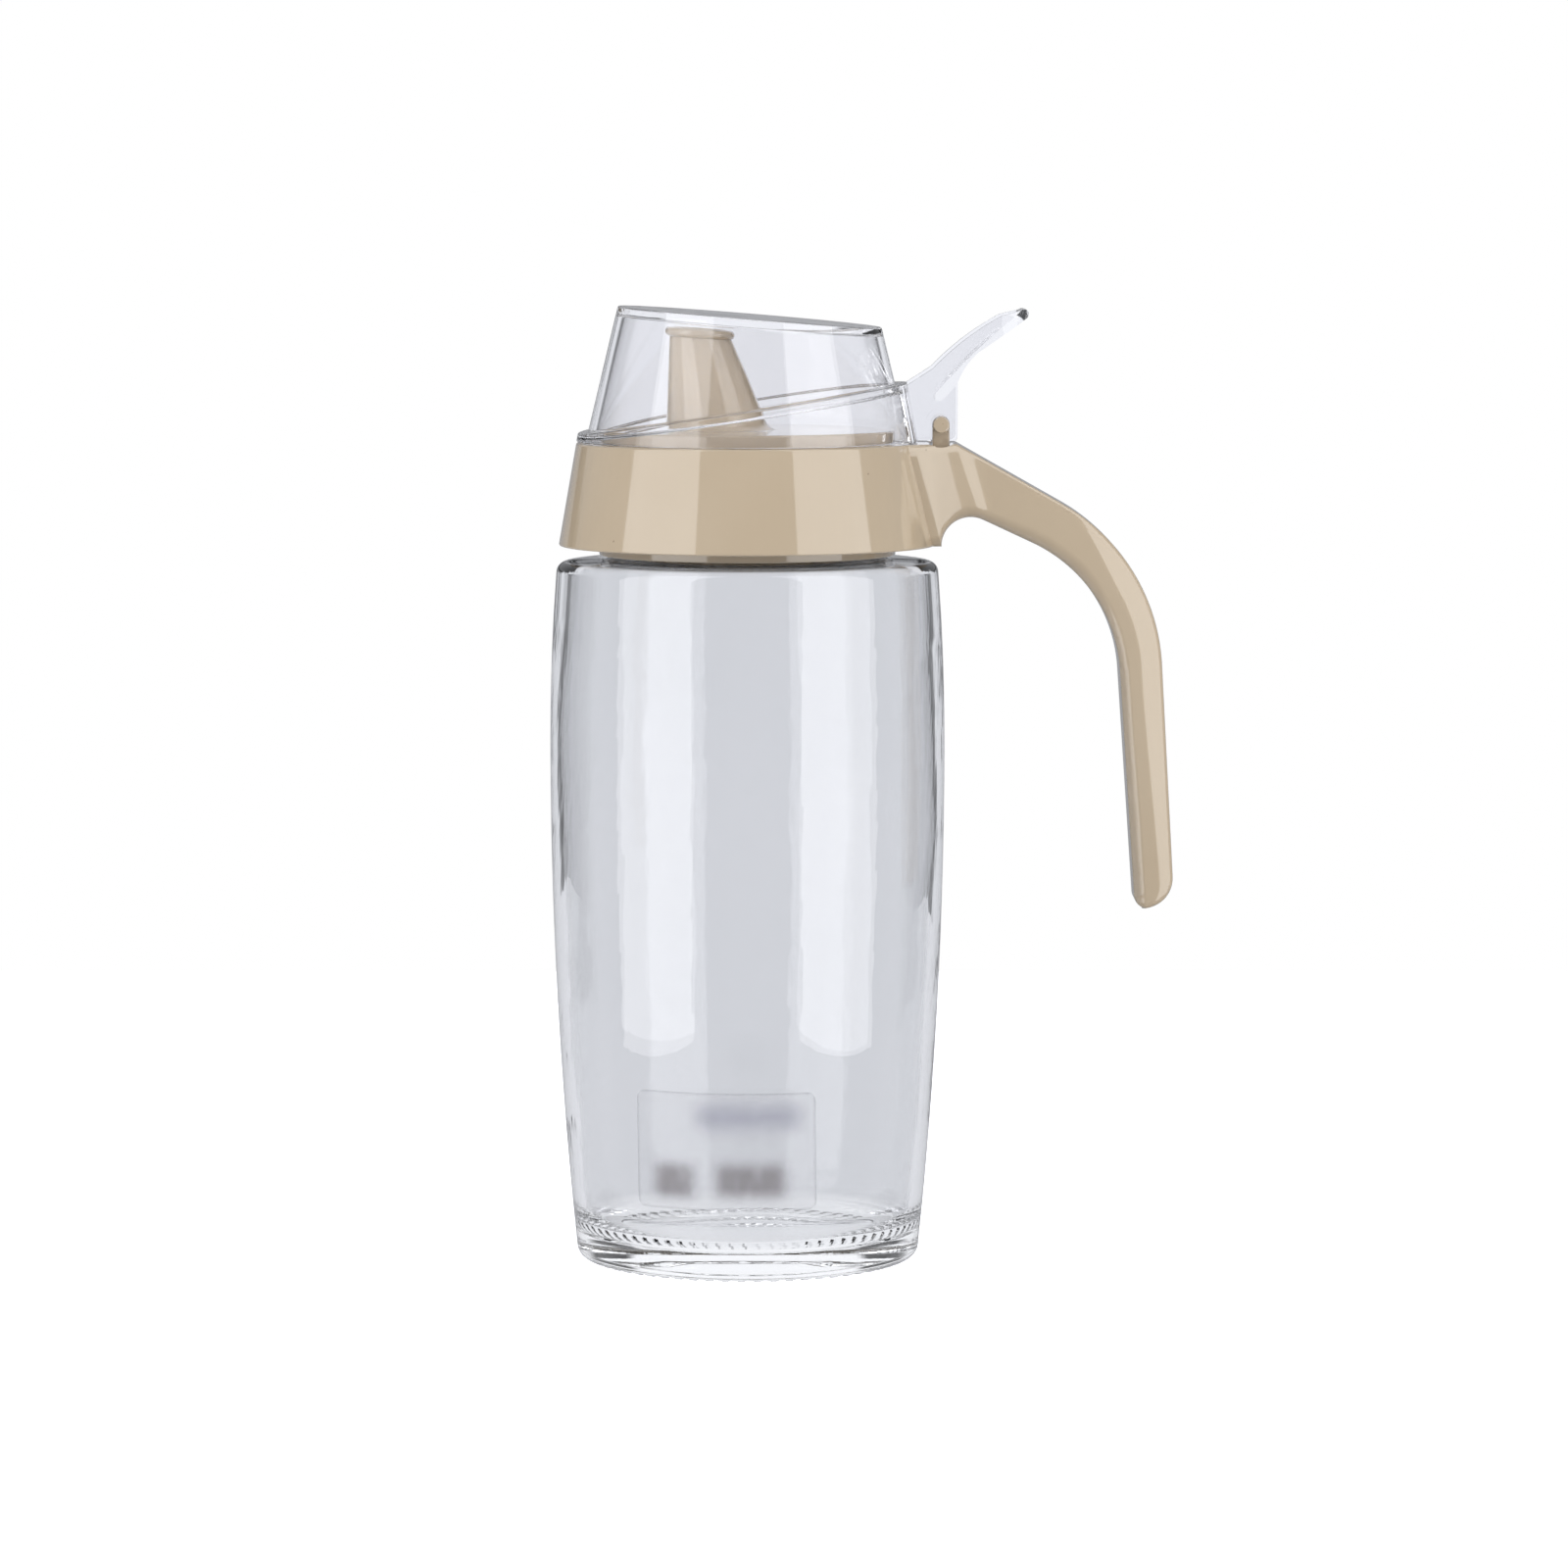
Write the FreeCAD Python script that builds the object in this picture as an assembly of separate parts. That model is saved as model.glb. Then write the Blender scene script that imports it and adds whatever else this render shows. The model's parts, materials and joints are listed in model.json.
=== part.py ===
import FreeCAD, Part
import math
import os

# Oil bottle: a clear glass barrel with a moulded pouring top. A tapered collar with an open-ended
# handle closes the neck, a pouring insert with an oblique spout sits on the collar, and a clear
# one-piece lid flips up about two stub pins on the collar's hinge lug.
# Millimetres. The origin is the centre of the base on the table, +Z is up, +X points to the handle.

# Glass body
BELLY_RADIUS = 40.2          # the widest place of the barrel
BELLY_HEIGHT = 104.5         # how high the widest place is
FOOT_RADIUS = 34.8           # where the wall's curve would meet the table
SHOULDER_RADIUS = 38.7       # at the top of the wall
SHOULDER_HEIGHT = 142.6      # outer edge of the shoulder
SHOULDER_RISE = 1.9          # from the outer edge up to the neck
SHOULDER_ROUND = 2.2
HEEL_ROUND = 5.2
GLASS_WALL = 2.6
FLOOR_THICKNESS = 5.2        # from the table to the inner floor at its edge
FLOOR_CROWN = 0.6            # how much the inner floor rises in the middle
INNER_HEEL_ROUND = 7.0
PUNT_RADIUS = 27.2           # inner edge of the ring that the bottle stands on
PUNT_HEIGHT = 2.3
NECK_BORE_RADIUS = 24.9
NECK_WALL = 3.1
NECK_ROOT_ROUND = 1.6
NECK_LIP_ROUND = 0.8

# Collar
COLLAR_GAP = 4.4             # open space between the shoulder's edge and the collar
COLLAR_HEIGHT = 19.8
COLLAR_TOP_RADIUS = 34.7
COLLAR_FLARE = 3.5           # how much wider the collar is at its bottom
COLLAR_WALL = 2.0
COLLAR_TOP_THICKNESS = 2.2
COLLAR_RING_WALL = 1.8       # the inner ring that holds the neck
COLLAR_RING_CLEARANCE = 0.3
COLLAR_RING_SHORT = 1.4      # the inner ring ends this much above the outer wall
COLLAR_EDGE_ROUND = 0.35

# Handle, as a side view: the back runs out, bends down and runs to the tip, and so does the grip side
HANDLE_BACK_STEP = 7.6       # the back leaves the collar's top this far outside its edge
HANDLE_BACK_SLOPE = 29.5     # degrees below the horizontal
HANDLE_BACK_REACH = 82.95    # X of the corner that the back's bend rounds off
HANDLE_BACK_BEND = 40.0
HANDLE_BACK_LEAN = 3.2       # degrees off the vertical, outwards going down
HANDLE_GRIP_SLOPE = 25.0
HANDLE_GRIP_CORNER_X = 74.4
HANDLE_GRIP_CORNER_DROP = 27.9   # below the collar's top
HANDLE_GRIP_BEND = 31.0
HANDLE_GRIP_LEAN = 3.9
HANDLE_ROOT_ARCH = 5.9       # the arch between the collar and the grip side
HANDLE_LENGTH = 94.6         # from the collar's top to the tip
HANDLE_TIP_OUTER_ROUND = 6.2
HANDLE_TIP_INNER_ROUND = 2.6
HANDLE_ROOT_BACK_HALF_WIDTH = 13.4   # half the root's width at the collar's top
HANDLE_ROOT_GRIP_HALF_WIDTH = 8.9    # and at the arch
HANDLE_GRIP_HALF_WIDTH = 7.8
HANDLE_WAIST_X = 60.0        # from here on the handle keeps one width
HANDLE_EDGE_ROUND = 2.3
HANDLE_ROOT_STEP = 1.0       # the arch starts this far outside the collar's lower edge
HANDLE_ROOT_DEPTH = 3.4         # how far inside the collar's top edge the handle starts
HANDLE_SECTIONS = (3, 3, 5, 3)   # sections along the root arch, the slope, the bend and the grip

# Hinge
HINGE_REACH = 4.45           # pin centre outside the edge of the collar's top
HINGE_RISE = 3.9             # pin centre above the collar's top
PIN_RADIUS = 1.6
PIN_CLEARANCE = 0.07
LUG_WALL = 0.15              # the lug's rounded top stands this much proud of the pins
LAND_DEPTH = 1.0             # the flat under the ears lies this much below the collar's top
LAND_STEP = 1.3              # the flat starts this far inside the edge of the collar's top
EAR_INNER = 7.5              # Y of an ear's inner face
EAR_THICKNESS = 2.0
EAR_CLEARANCE = 0.3

# Pouring insert
DECK_CLEARANCE = 0.45        # between the deck's rim and the inside of the lid's crown
DECK_THICKNESS = 2.5
DECK_EDGE_ROUND = 0.5
PLUG_WALL = 1.6
PLUG_CLEARANCE = 0.3
PLUG_DEPTH = 14.0
SPOUT_BASE_X = -6.9
SPOUT_BASE_RADIUS = 9.6
SPOUT_TIP_X = -9.6
SPOUT_TIP_RADIUS = 6.15
SPOUT_HEIGHT = 19.5          # deck to the middle of the rim bead
SPOUT_TIP_TILT = 4.2         # degrees, the front of the rim is higher
SPOUT_WALL = 1.2
SPOUT_BEAD = 0.95            # section radius of the rim bead
SPOUT_FOOT_FLARE = 1.8

# Lid
LID_SEAT_GAP = 0.2           # running gap between the lid's edge and the collar
LID_WALL = 1.8
LID_SKIRT_TAPER = 0.185      # radius lost for each millimetre of height
LID_CROWN_RADIUS = 26.2      # at the front of the top
LID_CROWN_TAPER = 0.24
LID_HEIGHT = 27.5            # front of the top above the lid's edge
LID_TOP_TILT = 4.7           # degrees, the top falls towards the hinge
LID_SHELF_HEIGHT = 7.1       # the slanted shelf above the lid's edge, at the bottle's axis
LID_SHELF_TILT = 8.8         # degrees, the shelf climbs towards the hinge
LID_TOP_ROUND = 1.0
LID_SHELF_ROUND = 0.5

# Thumb tab, measured from the hinge pin
TAB_TIP_REACH = 17.5
TAB_TIP_RISE = 22.9
TAB_FLOOR_START_REACH = -1.2
TAB_FLOOR_START_RISE = 6.2
TAB_FLOOR_SAG = -0.5         # how far the floor bows down between its ends
TAB_FLOOR_THICKNESS = 2.0
TAB_RIM_END_REACH = 12.2     # where the tab's side walls run out into the floor
TAB_RIM_END_RISE = 21.9
TAB_RIM_BOW = 1.9            # how far the rim line bows up between the ear's crest and that place
TAB_BELLY_REACH = 7.3        # where the ears' back edge meets the tab's underside
TAB_BELLY_RISE = 14.4
TAB_CORNER_ROUND = 6.5       # seen from above
EAR_CREST_REACH = -1.7       # where the ears' top edge turns up into the tab's side
EAR_CREST_RISE = 11.3
EAR_BACK_REACH = 3.3         # the ears' back edge behind the pin
EAR_BACK_FLARE = 1.4         # how far the back edge swings out into the tab's underside
EAR_CORNER_ROUND = 0.9
SLOT_RECESS_STEP = 0.98      # the shallow recess is this much wider than the slot on each side
SLOT_RECESS_DEPTH = 0.7

# Label
LABEL_WIDTH = 36.0           # straight across
LABEL_TURN = -7.0            # degrees from the front, away from the handle
LABEL_BOTTOM = 14.9
LABEL_HEIGHT = 24.0
LABEL_CORNER_ROUND = 1.8
LABEL_THICKNESS = 0.12
LABEL_FILM_GAP = 0.03

# Heights and places that follow from the values above
NECK_RADIUS = NECK_BORE_RADIUS + NECK_WALL
COLLAR_BOTTOM_RADIUS = COLLAR_TOP_RADIUS + COLLAR_FLARE
COLLAR_BOTTOM = SHOULDER_HEIGHT + COLLAR_GAP
COLLAR_TOP = COLLAR_BOTTOM + COLLAR_HEIGHT
NECK_TOP = COLLAR_TOP - COLLAR_TOP_THICKNESS
DECK_TOP = COLLAR_TOP + DECK_THICKNESS
LAND_HEIGHT = COLLAR_TOP - LAND_DEPTH
LAND_START_X = COLLAR_TOP_RADIUS - LAND_STEP
HANDLE_BACK_START = COLLAR_TOP_RADIUS + HANDLE_BACK_STEP
LUG_ROUND = PIN_RADIUS + LUG_WALL
SLOT_HALF_WIDTH = PIN_RADIUS + PIN_CLEARANCE
HINGE_X = COLLAR_TOP_RADIUS + HINGE_REACH
HINGE_HEIGHT = COLLAR_TOP + HINGE_RISE
EAR_OUTER = EAR_INNER + EAR_THICKNESS
LID_SKIRT_RADIUS = COLLAR_TOP_RADIUS
LID_EDGE = COLLAR_TOP + LID_SEAT_GAP
LID_TOP = LID_EDGE + LID_HEIGHT
PLUG_RADIUS = NECK_BORE_RADIUS - PLUG_CLEARANCE
DECK_RADIUS = LID_CROWN_RADIUS + LID_CROWN_TAPER * (LID_TOP - DECK_TOP) - LID_WALL - DECK_CLEARANCE
FAR = 300.0                  # longer than any piece, for cutting blocks

UP = FreeCAD.Vector(0, 0, 1)
ALONG_Y = FreeCAD.Vector(0, 1, 0)
ORIGIN = FreeCAD.Vector(0, 0, 0)


def side(x, z, y=0.0):
    """A point of the side view."""
    return FreeCAD.Vector(x, y, z)


def line(start, end):
    return Part.LineSegment(start, end).toShape()


def arc(start, middle, end):
    return Part.Arc(start, middle, end).toShape()


def turned_solid(edges):
    """The solid that a closed outline beside the Z axis sweeps in a full turn."""
    return Part.Face(Part.Wire(edges)).revolve(ORIGIN, UP, 360)


def extruded(edges, low_y, high_y):
    """A side view outline made solid between two Y values."""
    face = Part.Face(Part.Wire(edges))
    face.translate(FreeCAD.Vector(0, low_y, 0))
    return face.extrude(FreeCAD.Vector(0, high_y - low_y, 0))


def rounded_outline(corners):
    """A closed outline of straight runs, each corner (point, radius) rounded by its own arc."""
    edges = []
    count = len(corners)
    ends = []
    for index in range(count):
        point, radius = corners[index]
        to_last = (corners[index - 1][0] - point).normalize()
        to_next = (corners[(index + 1) % count][0] - point).normalize()
        half = to_last.getAngle(to_next) / 2
        reach = radius / math.tan(half)
        bisector = (to_last + to_next).normalize()
        middle = point + bisector * (radius / math.sin(half) - radius)
        ends.append((point + to_last * reach, middle, point + to_next * reach))
    for index in range(count):
        enter, middle, leave = ends[index]
        if corners[index][1] > 0:
            edges.append(arc(enter, middle, leave))
        following = ends[(index + 1) % count][0]
        edges.append(line(leave, following))
    return edges


def ring_edges(shape, radius, height):
    """The shape's full circles of one radius at one height."""
    found = []
    for edge in shape.Edges:
        if edge.Degenerated or not isinstance(edge.Curve, Part.Circle):
            continue
        curve = edge.Curve
        if abs(curve.Radius - radius) < 0.01 and abs(curve.Center.z - height) < 0.01:
            found.append(edge)
    return found


def below_plane(height, tilt):
    """A block whose top passes through the Z axis at a height and climbs towards +X by a tilt."""
    block = Part.makeBox(FAR, FAR, FAR, side(-FAR / 2, height - FAR, -FAR / 2))
    block.rotate(side(0, height), ALONG_Y, -tilt)
    return block


def belly_arc_radius(edge_radius, edge_height):
    """Radius of the wall's arc from the belly, where it stands upright, to one end of the wall."""
    inset = BELLY_RADIUS - edge_radius
    reach = edge_height - BELLY_HEIGHT
    return (inset * inset + reach * reach) / (2 * inset)


def wall_radius(height, inwards=0.0):
    """Radius of the barrel's wall at a height, or of the surface that far inside it."""
    if height < BELLY_HEIGHT:
        bend = belly_arc_radius(FOOT_RADIUS, 0.0)
    else:
        bend = belly_arc_radius(SHOULDER_RADIUS, SHOULDER_HEIGHT)
    offset = bend - math.sqrt((bend - inwards) ** 2 - (height - BELLY_HEIGHT) ** 2)
    return BELLY_RADIUS - offset


def wall_edge(low, high, inwards=0.0):
    """The wall's curve between two heights on one side of the belly."""
    points = [side(wall_radius(height, inwards), height) for height in (low, (low + high) / 2, high)]
    return arc(*points)


def bottle():
    """The glass: a barrel with a thick base, a flat shoulder and a wide neck."""
    neck_root = SHOULDER_HEIGHT + SHOULDER_RISE
    outside = [
        arc(side(0, PUNT_HEIGHT), side(PUNT_RADIUS * 0.6, PUNT_HEIGHT * 0.75), side(PUNT_RADIUS, 0)),
        line(side(PUNT_RADIUS, 0), side(FOOT_RADIUS, 0)),
        wall_edge(0.0, BELLY_HEIGHT),
        wall_edge(BELLY_HEIGHT, SHOULDER_HEIGHT),
        line(side(SHOULDER_RADIUS, SHOULDER_HEIGHT), side(NECK_RADIUS, neck_root)),
        line(side(NECK_RADIUS, neck_root), side(NECK_RADIUS, NECK_TOP)),
        line(side(NECK_RADIUS, NECK_TOP), side(0, NECK_TOP)),
        line(side(0, NECK_TOP), side(0, PUNT_HEIGHT)),
    ]
    blank = turned_solid(outside)
    blank = blank.makeFillet(HEEL_ROUND, ring_edges(blank, FOOT_RADIUS, 0))
    blank = blank.makeFillet(SHOULDER_ROUND, ring_edges(blank, SHOULDER_RADIUS, SHOULDER_HEIGHT))
    blank = blank.makeFillet(NECK_ROOT_ROUND, ring_edges(blank, NECK_RADIUS, neck_root))

    inner_foot = wall_radius(FLOOR_THICKNESS, GLASS_WALL)
    ceiling = SHOULDER_HEIGHT - GLASS_WALL
    inner_shoulder = wall_radius(ceiling, GLASS_WALL)
    bore_root = ceiling + SHOULDER_RISE
    crown = FLOOR_THICKNESS + FLOOR_CROWN
    inside = [
        arc(side(0, crown), side(inner_foot / 2, FLOOR_THICKNESS + 0.75 * FLOOR_CROWN),
            side(inner_foot, FLOOR_THICKNESS)),
        wall_edge(FLOOR_THICKNESS, BELLY_HEIGHT, GLASS_WALL),
        wall_edge(BELLY_HEIGHT, ceiling, GLASS_WALL),
        line(side(inner_shoulder, ceiling), side(NECK_BORE_RADIUS, bore_root)),
        line(side(NECK_BORE_RADIUS, bore_root), side(NECK_BORE_RADIUS, NECK_TOP)),
        line(side(NECK_BORE_RADIUS, NECK_TOP), side(0, NECK_TOP)),
        line(side(0, NECK_TOP), side(0, crown)),
    ]
    hollow = turned_solid(inside)
    hollow = hollow.makeFillet(INNER_HEEL_ROUND, ring_edges(hollow, inner_foot, FLOOR_THICKNESS))
    hollow = hollow.makeFillet(SHOULDER_ROUND, ring_edges(hollow, inner_shoulder, ceiling))
    glass = blank.cut(hollow)
    lips = ring_edges(glass, NECK_RADIUS, NECK_TOP) + ring_edges(glass, NECK_BORE_RADIUS, NECK_TOP)
    return glass.makeFillet(NECK_LIP_ROUND, lips)


def rounding(start, corner, end, radius):
    """Where a round enters a corner, its middle and where it leaves, on the runs to start and end."""
    to_start = (start - corner).normalize()
    to_end = (end - corner).normalize()
    half = to_start.getAngle(to_end) / 2
    reach = radius / math.tan(half)
    middle = corner + (to_start + to_end).normalize() * (radius / math.sin(half) - radius)
    return corner + to_start * reach, middle, corner + to_end * reach


def bent_run(start, corner, end, bend):
    """A straight run, a tangent bend that rounds the corner, and a second straight run."""
    enter, middle, leave = rounding(start, corner, end, bend)
    return [line(start, enter), arc(enter, middle, leave), line(leave, end)]


def handle_sides():
    """Side view of the handle: the pieces of its back and of its grip side, root to tip."""
    slope = math.tan(math.radians(HANDLE_BACK_SLOPE))
    lean = math.tan(math.radians(HANDLE_BACK_LEAN))
    tip_height = COLLAR_TOP - HANDLE_LENGTH
    shoulder = side(HANDLE_BACK_START, COLLAR_TOP)
    corner = side(HANDLE_BACK_REACH, COLLAR_TOP - (HANDLE_BACK_REACH - HANDLE_BACK_START) * slope)
    tip = side(corner.x + (corner.z - tip_height) * lean, tip_height)
    root = side(COLLAR_TOP_RADIUS - HANDLE_ROOT_DEPTH, COLLAR_TOP)
    half_way = (root + shoulder) / 2
    back = [line(root, half_way), line(half_way, shoulder)]
    back += bent_run(shoulder, corner, tip, HANDLE_BACK_BEND)

    slope = math.tan(math.radians(HANDLE_GRIP_SLOPE))
    lean = math.tan(math.radians(HANDLE_GRIP_LEAN))
    corner = side(HANDLE_GRIP_CORNER_X, COLLAR_TOP - HANDLE_GRIP_CORNER_DROP)
    tip = side(corner.x + (corner.z - tip_height) * lean, tip_height)
    root_x = COLLAR_BOTTOM_RADIUS + HANDLE_ROOT_STEP
    arch_corner = side(root_x, corner.z + (corner.x - root_x) * slope)
    foot = side(root_x, COLLAR_BOTTOM - HANDLE_ROOT_ARCH)
    arch = bent_run(foot, arch_corner, corner, HANDLE_ROOT_ARCH)[1]
    arch_start = arch.valueAt(arch.FirstParameter)
    arch_end = arch.valueAt(arch.LastParameter)
    grip = [line(side(root.x, arch_start.z), arch_start), arch]
    grip += bent_run(arch_end, corner, tip, HANDLE_GRIP_BEND)
    return back, grip


def handle_half_width(x, root_half_width):
    """Half the handle's width: broad at the collar, easing to the grip's even width."""
    start = COLLAR_TOP_RADIUS - HANDLE_ROOT_DEPTH
    share = min(1.0, max(0.0, (HANDLE_WAIST_X - x) / (HANDLE_WAIST_X - start)))
    return HANDLE_GRIP_HALF_WIDTH + (root_half_width - HANDLE_GRIP_HALF_WIDTH) * share ** 1.7


def handle_section(back_point, grip_point):
    """A rounded section of the handle between a point of its back and one of its grip side."""
    across_back = ALONG_Y * handle_half_width(back_point.x, HANDLE_ROOT_BACK_HALF_WIDTH)
    across_grip = ALONG_Y * handle_half_width(back_point.x, HANDLE_ROOT_GRIP_HALF_WIDTH)
    corners = [back_point - across_back, back_point + across_back, grip_point + across_grip,
               grip_point - across_grip]
    rounds = []
    for index in range(4):
        rounds.append(rounding(corners[index - 1], corners[index], corners[(index + 1) % 4],
                               HANDLE_EDGE_ROUND))
    edges = []
    for index in range(4):
        enter, middle, leave = rounds[index]
        edges.append(arc(enter, middle, leave))
        edges.append(line(leave, rounds[(index + 1) % 4][0]))
    return Part.Wire(edges)


def handle():
    """The open-ended handle: rounded sections along its bend, trimmed to the tip's outline."""
    back, grip = handle_sides()
    root = handle_section(back[0].Vertexes[0].Point, grip[0].Vertexes[0].Point)
    sections = []
    for back_piece, grip_piece, steps in zip(back[1:], grip[1:], HANDLE_SECTIONS):
        for step in range(steps):
            points = []
            for piece in (back_piece, grip_piece):
                span = piece.LastParameter - piece.FirstParameter
                points.append(piece.valueAt(piece.FirstParameter + span * step / steps))
            sections.append(handle_section(*points))
    sections.append(handle_section(back[-1].Vertexes[-1].Point, grip[-1].Vertexes[-1].Point))
    body = Part.makeLoft(sections, True, False)
    body = body.fuse(Part.makeLoft([root, sections[0]], True, True))
    ends = [grip[-1].Vertexes[-1].Point, back[-1].Vertexes[-1].Point]
    starts = [grip[-1].Vertexes[0].Point, back[-1].Vertexes[0].Point]
    rounds = [HANDLE_TIP_INNER_ROUND, HANDLE_TIP_OUTER_ROUND]
    for index in range(2):
        body = body.cut(corner_cutter(starts[index], ends[index], ends[1 - index], rounds[index]))
    return body


def corner_cutter(start, corner, end, radius):
    """Block that takes a side view's corner down to a round."""
    enter, middle, leave = rounding(start, corner, end, radius)
    outwards = (corner - middle).normalize() * radius
    edges = [
        arc(enter, middle, leave),
        line(leave, leave + outwards),
        line(leave + outwards, enter + outwards),
        line(enter + outwards, enter),
    ]
    return extruded(edges, -HANDLE_ROOT_BACK_HALF_WIDTH, HANDLE_ROOT_BACK_HALF_WIDTH)


def cone_block(low, high, low_radius, taper):
    """A solid cone stub on the Z axis; taper is the radius lost for each millimetre of height."""
    return Part.makeCone(low_radius, low_radius - taper * (high - low), high - low, side(0, low), UP)


def hinge_lug():
    """The lug between the lid's ears, with a stub pin on each side."""
    inner = EAR_INNER - EAR_CLEARANCE
    foot = LAND_HEIGHT - COLLAR_TOP_THICKNESS / 2
    top = HINGE_HEIGHT + LUG_ROUND
    outline = [
        line(side(HINGE_X - LUG_ROUND, foot), side(HINGE_X - LUG_ROUND, HINGE_HEIGHT)),
        arc(side(HINGE_X - LUG_ROUND, HINGE_HEIGHT), side(HINGE_X, top),
            side(HINGE_X + LUG_ROUND, HINGE_HEIGHT)),
        line(side(HINGE_X + LUG_ROUND, HINGE_HEIGHT), side(HINGE_X + LUG_ROUND, foot)),
        line(side(HINGE_X + LUG_ROUND, foot), side(HINGE_X - LUG_ROUND, foot)),
    ]
    lug = extruded(outline, -inner, inner)
    pin = Part.makeCylinder(PIN_RADIUS, 2 * EAR_OUTER, side(HINGE_X, HINGE_HEIGHT, -EAR_OUTER), ALONG_Y)
    return lug.fuse(pin)


def collar():
    """The moulded collar: tapered wall, top, neck ring, handle, hinge lug and stub pins."""
    taper = (COLLAR_BOTTOM_RADIUS - COLLAR_TOP_RADIUS) / COLLAR_HEIGHT
    ring_bore = NECK_RADIUS + COLLAR_RING_CLEARANCE
    ring_end = COLLAR_BOTTOM + COLLAR_RING_SHORT
    throat = NECK_BORE_RADIUS + PLUG_CLEARANCE
    outside = cone_block(COLLAR_BOTTOM, COLLAR_TOP, COLLAR_BOTTOM_RADIUS, taper)
    sharp = ring_edges(outside, COLLAR_BOTTOM_RADIUS, COLLAR_BOTTOM)
    outside = outside.makeFillet(COLLAR_EDGE_ROUND, sharp)

    below = COLLAR_BOTTOM - HANDLE_ROOT_ARCH
    inner_radius = COLLAR_BOTTOM_RADIUS - COLLAR_WALL + taper * HANDLE_ROOT_ARCH
    hollow = cone_block(below, NECK_TOP, inner_radius, taper)
    ring = Part.makeCylinder(ring_bore + COLLAR_RING_WALL, NECK_TOP - ring_end, side(0, ring_end), UP)
    hollow = hollow.cut(ring)
    bore = Part.makeCylinder(ring_bore, NECK_TOP - below, side(0, below), UP)
    throat_hole = Part.makeCylinder(throat, FAR, side(0, below), UP)
    under = Part.makeBox(2 * FAR, 2 * FAR, FAR, side(-FAR, COLLAR_BOTTOM - FAR, -FAR))
    beside = Part.makeBox(FAR, 2 * FAR, 2 * FAR, side(COLLAR_BOTTOM_RADIUS + HANDLE_ROOT_ARCH, 0, -FAR))
    under = under.cut(beside)
    land_half_width = EAR_OUTER + 2 * EAR_CLEARANCE
    land = Part.makeBox(HANDLE_BACK_START - LAND_START_X + HANDLE_ROOT_ARCH, 2 * land_half_width, FAR,
                        side(LAND_START_X, LAND_HEIGHT, -land_half_width))

    body = outside.fuse(handle())
    for removed in (hollow, bore, throat_hole, under, land):
        body = body.cut(removed)
    return body.fuse(hinge_lug()).removeSplitter()


def spout_skin(base_radius, tip_radius, base_height, tip_height):
    """An oblique cone between a level ring on the deck and the tilted ring of the rim."""
    base = Part.makeCircle(base_radius, side(SPOUT_BASE_X, base_height), UP)
    tip = Part.makeCircle(tip_radius, side(SPOUT_TIP_X, tip_height), UP)
    tip.rotate(side(SPOUT_TIP_X, tip_height), ALONG_Y, SPOUT_TIP_TILT)
    return Part.makeLoft([Part.Wire([base]), Part.Wire([tip])], True, True)


def spout():
    """The pouring insert: a deck on the collar, a plug in the neck and the oblique spout."""
    deck = Part.makeCylinder(DECK_RADIUS, DECK_THICKNESS, side(0, COLLAR_TOP), UP)
    deck = deck.makeFillet(DECK_EDGE_ROUND, ring_edges(deck, DECK_RADIUS, DECK_TOP))
    plug = Part.makeCylinder(PLUG_RADIUS, PLUG_DEPTH, side(0, COLLAR_TOP - PLUG_DEPTH), UP)
    plug_hole = Part.makeCylinder(PLUG_RADIUS - PLUG_WALL, PLUG_DEPTH, side(0, COLLAR_TOP - PLUG_DEPTH), UP)
    tip_height = DECK_TOP + SPOUT_HEIGHT
    horn = spout_skin(SPOUT_BASE_RADIUS, SPOUT_TIP_RADIUS, DECK_TOP, tip_height)
    foot = Part.makeCone(SPOUT_BASE_RADIUS + SPOUT_FOOT_FLARE, SPOUT_BASE_RADIUS, 2 * SPOUT_FOOT_FLARE,
                         side(SPOUT_BASE_X, DECK_TOP - DECK_EDGE_ROUND), UP)
    bead = Part.makeTorus(SPOUT_TIP_RADIUS, SPOUT_BEAD, side(SPOUT_TIP_X, tip_height), UP)
    bead.rotate(side(SPOUT_TIP_X, tip_height), ALONG_Y, SPOUT_TIP_TILT)
    bore = spout_skin(SPOUT_BASE_RADIUS - SPOUT_WALL, SPOUT_TIP_RADIUS - SPOUT_WALL, DECK_TOP, tip_height)
    base_hole = Part.makeCylinder(SPOUT_BASE_RADIUS - SPOUT_WALL, DECK_THICKNESS,
                                  side(SPOUT_BASE_X, COLLAR_TOP), UP)
    mouth = Part.makeCylinder(SPOUT_TIP_RADIUS - SPOUT_WALL, 2 * SPOUT_BEAD, side(SPOUT_TIP_X, tip_height), UP)
    mouth.rotate(side(SPOUT_TIP_X, tip_height), ALONG_Y, SPOUT_TIP_TILT)
    body = deck.fuse(plug).fuse(foot).fuse(horn).fuse(bead)
    for removed in (plug_hole, bore, base_hole, mouth):
        body = body.cut(removed)
    return body.removeSplitter()


def lid_mass(inwards):
    """The lid's outer form, or the same form that far inside it: skirt, slanted shelf and crown."""
    low = LID_EDGE - inwards
    skirt_radius = LID_SKIRT_RADIUS - inwards + LID_SKIRT_TAPER * inwards
    crown_radius = LID_CROWN_RADIUS + LID_CROWN_TAPER * (LID_TOP - low) - inwards
    skirt = cone_block(low, LID_TOP, skirt_radius, LID_SKIRT_TAPER)
    skirt = skirt.common(below_plane(LID_EDGE + LID_SHELF_HEIGHT - inwards, LID_SHELF_TILT))
    top_drop = LID_CROWN_RADIUS * math.tan(math.radians(LID_TOP_TILT))
    crown = cone_block(low, LID_TOP + 1.0, crown_radius, LID_CROWN_TAPER)
    crown = crown.common(below_plane(LID_TOP - top_drop - inwards, -LID_TOP_TILT))
    return skirt.fuse(crown)


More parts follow.
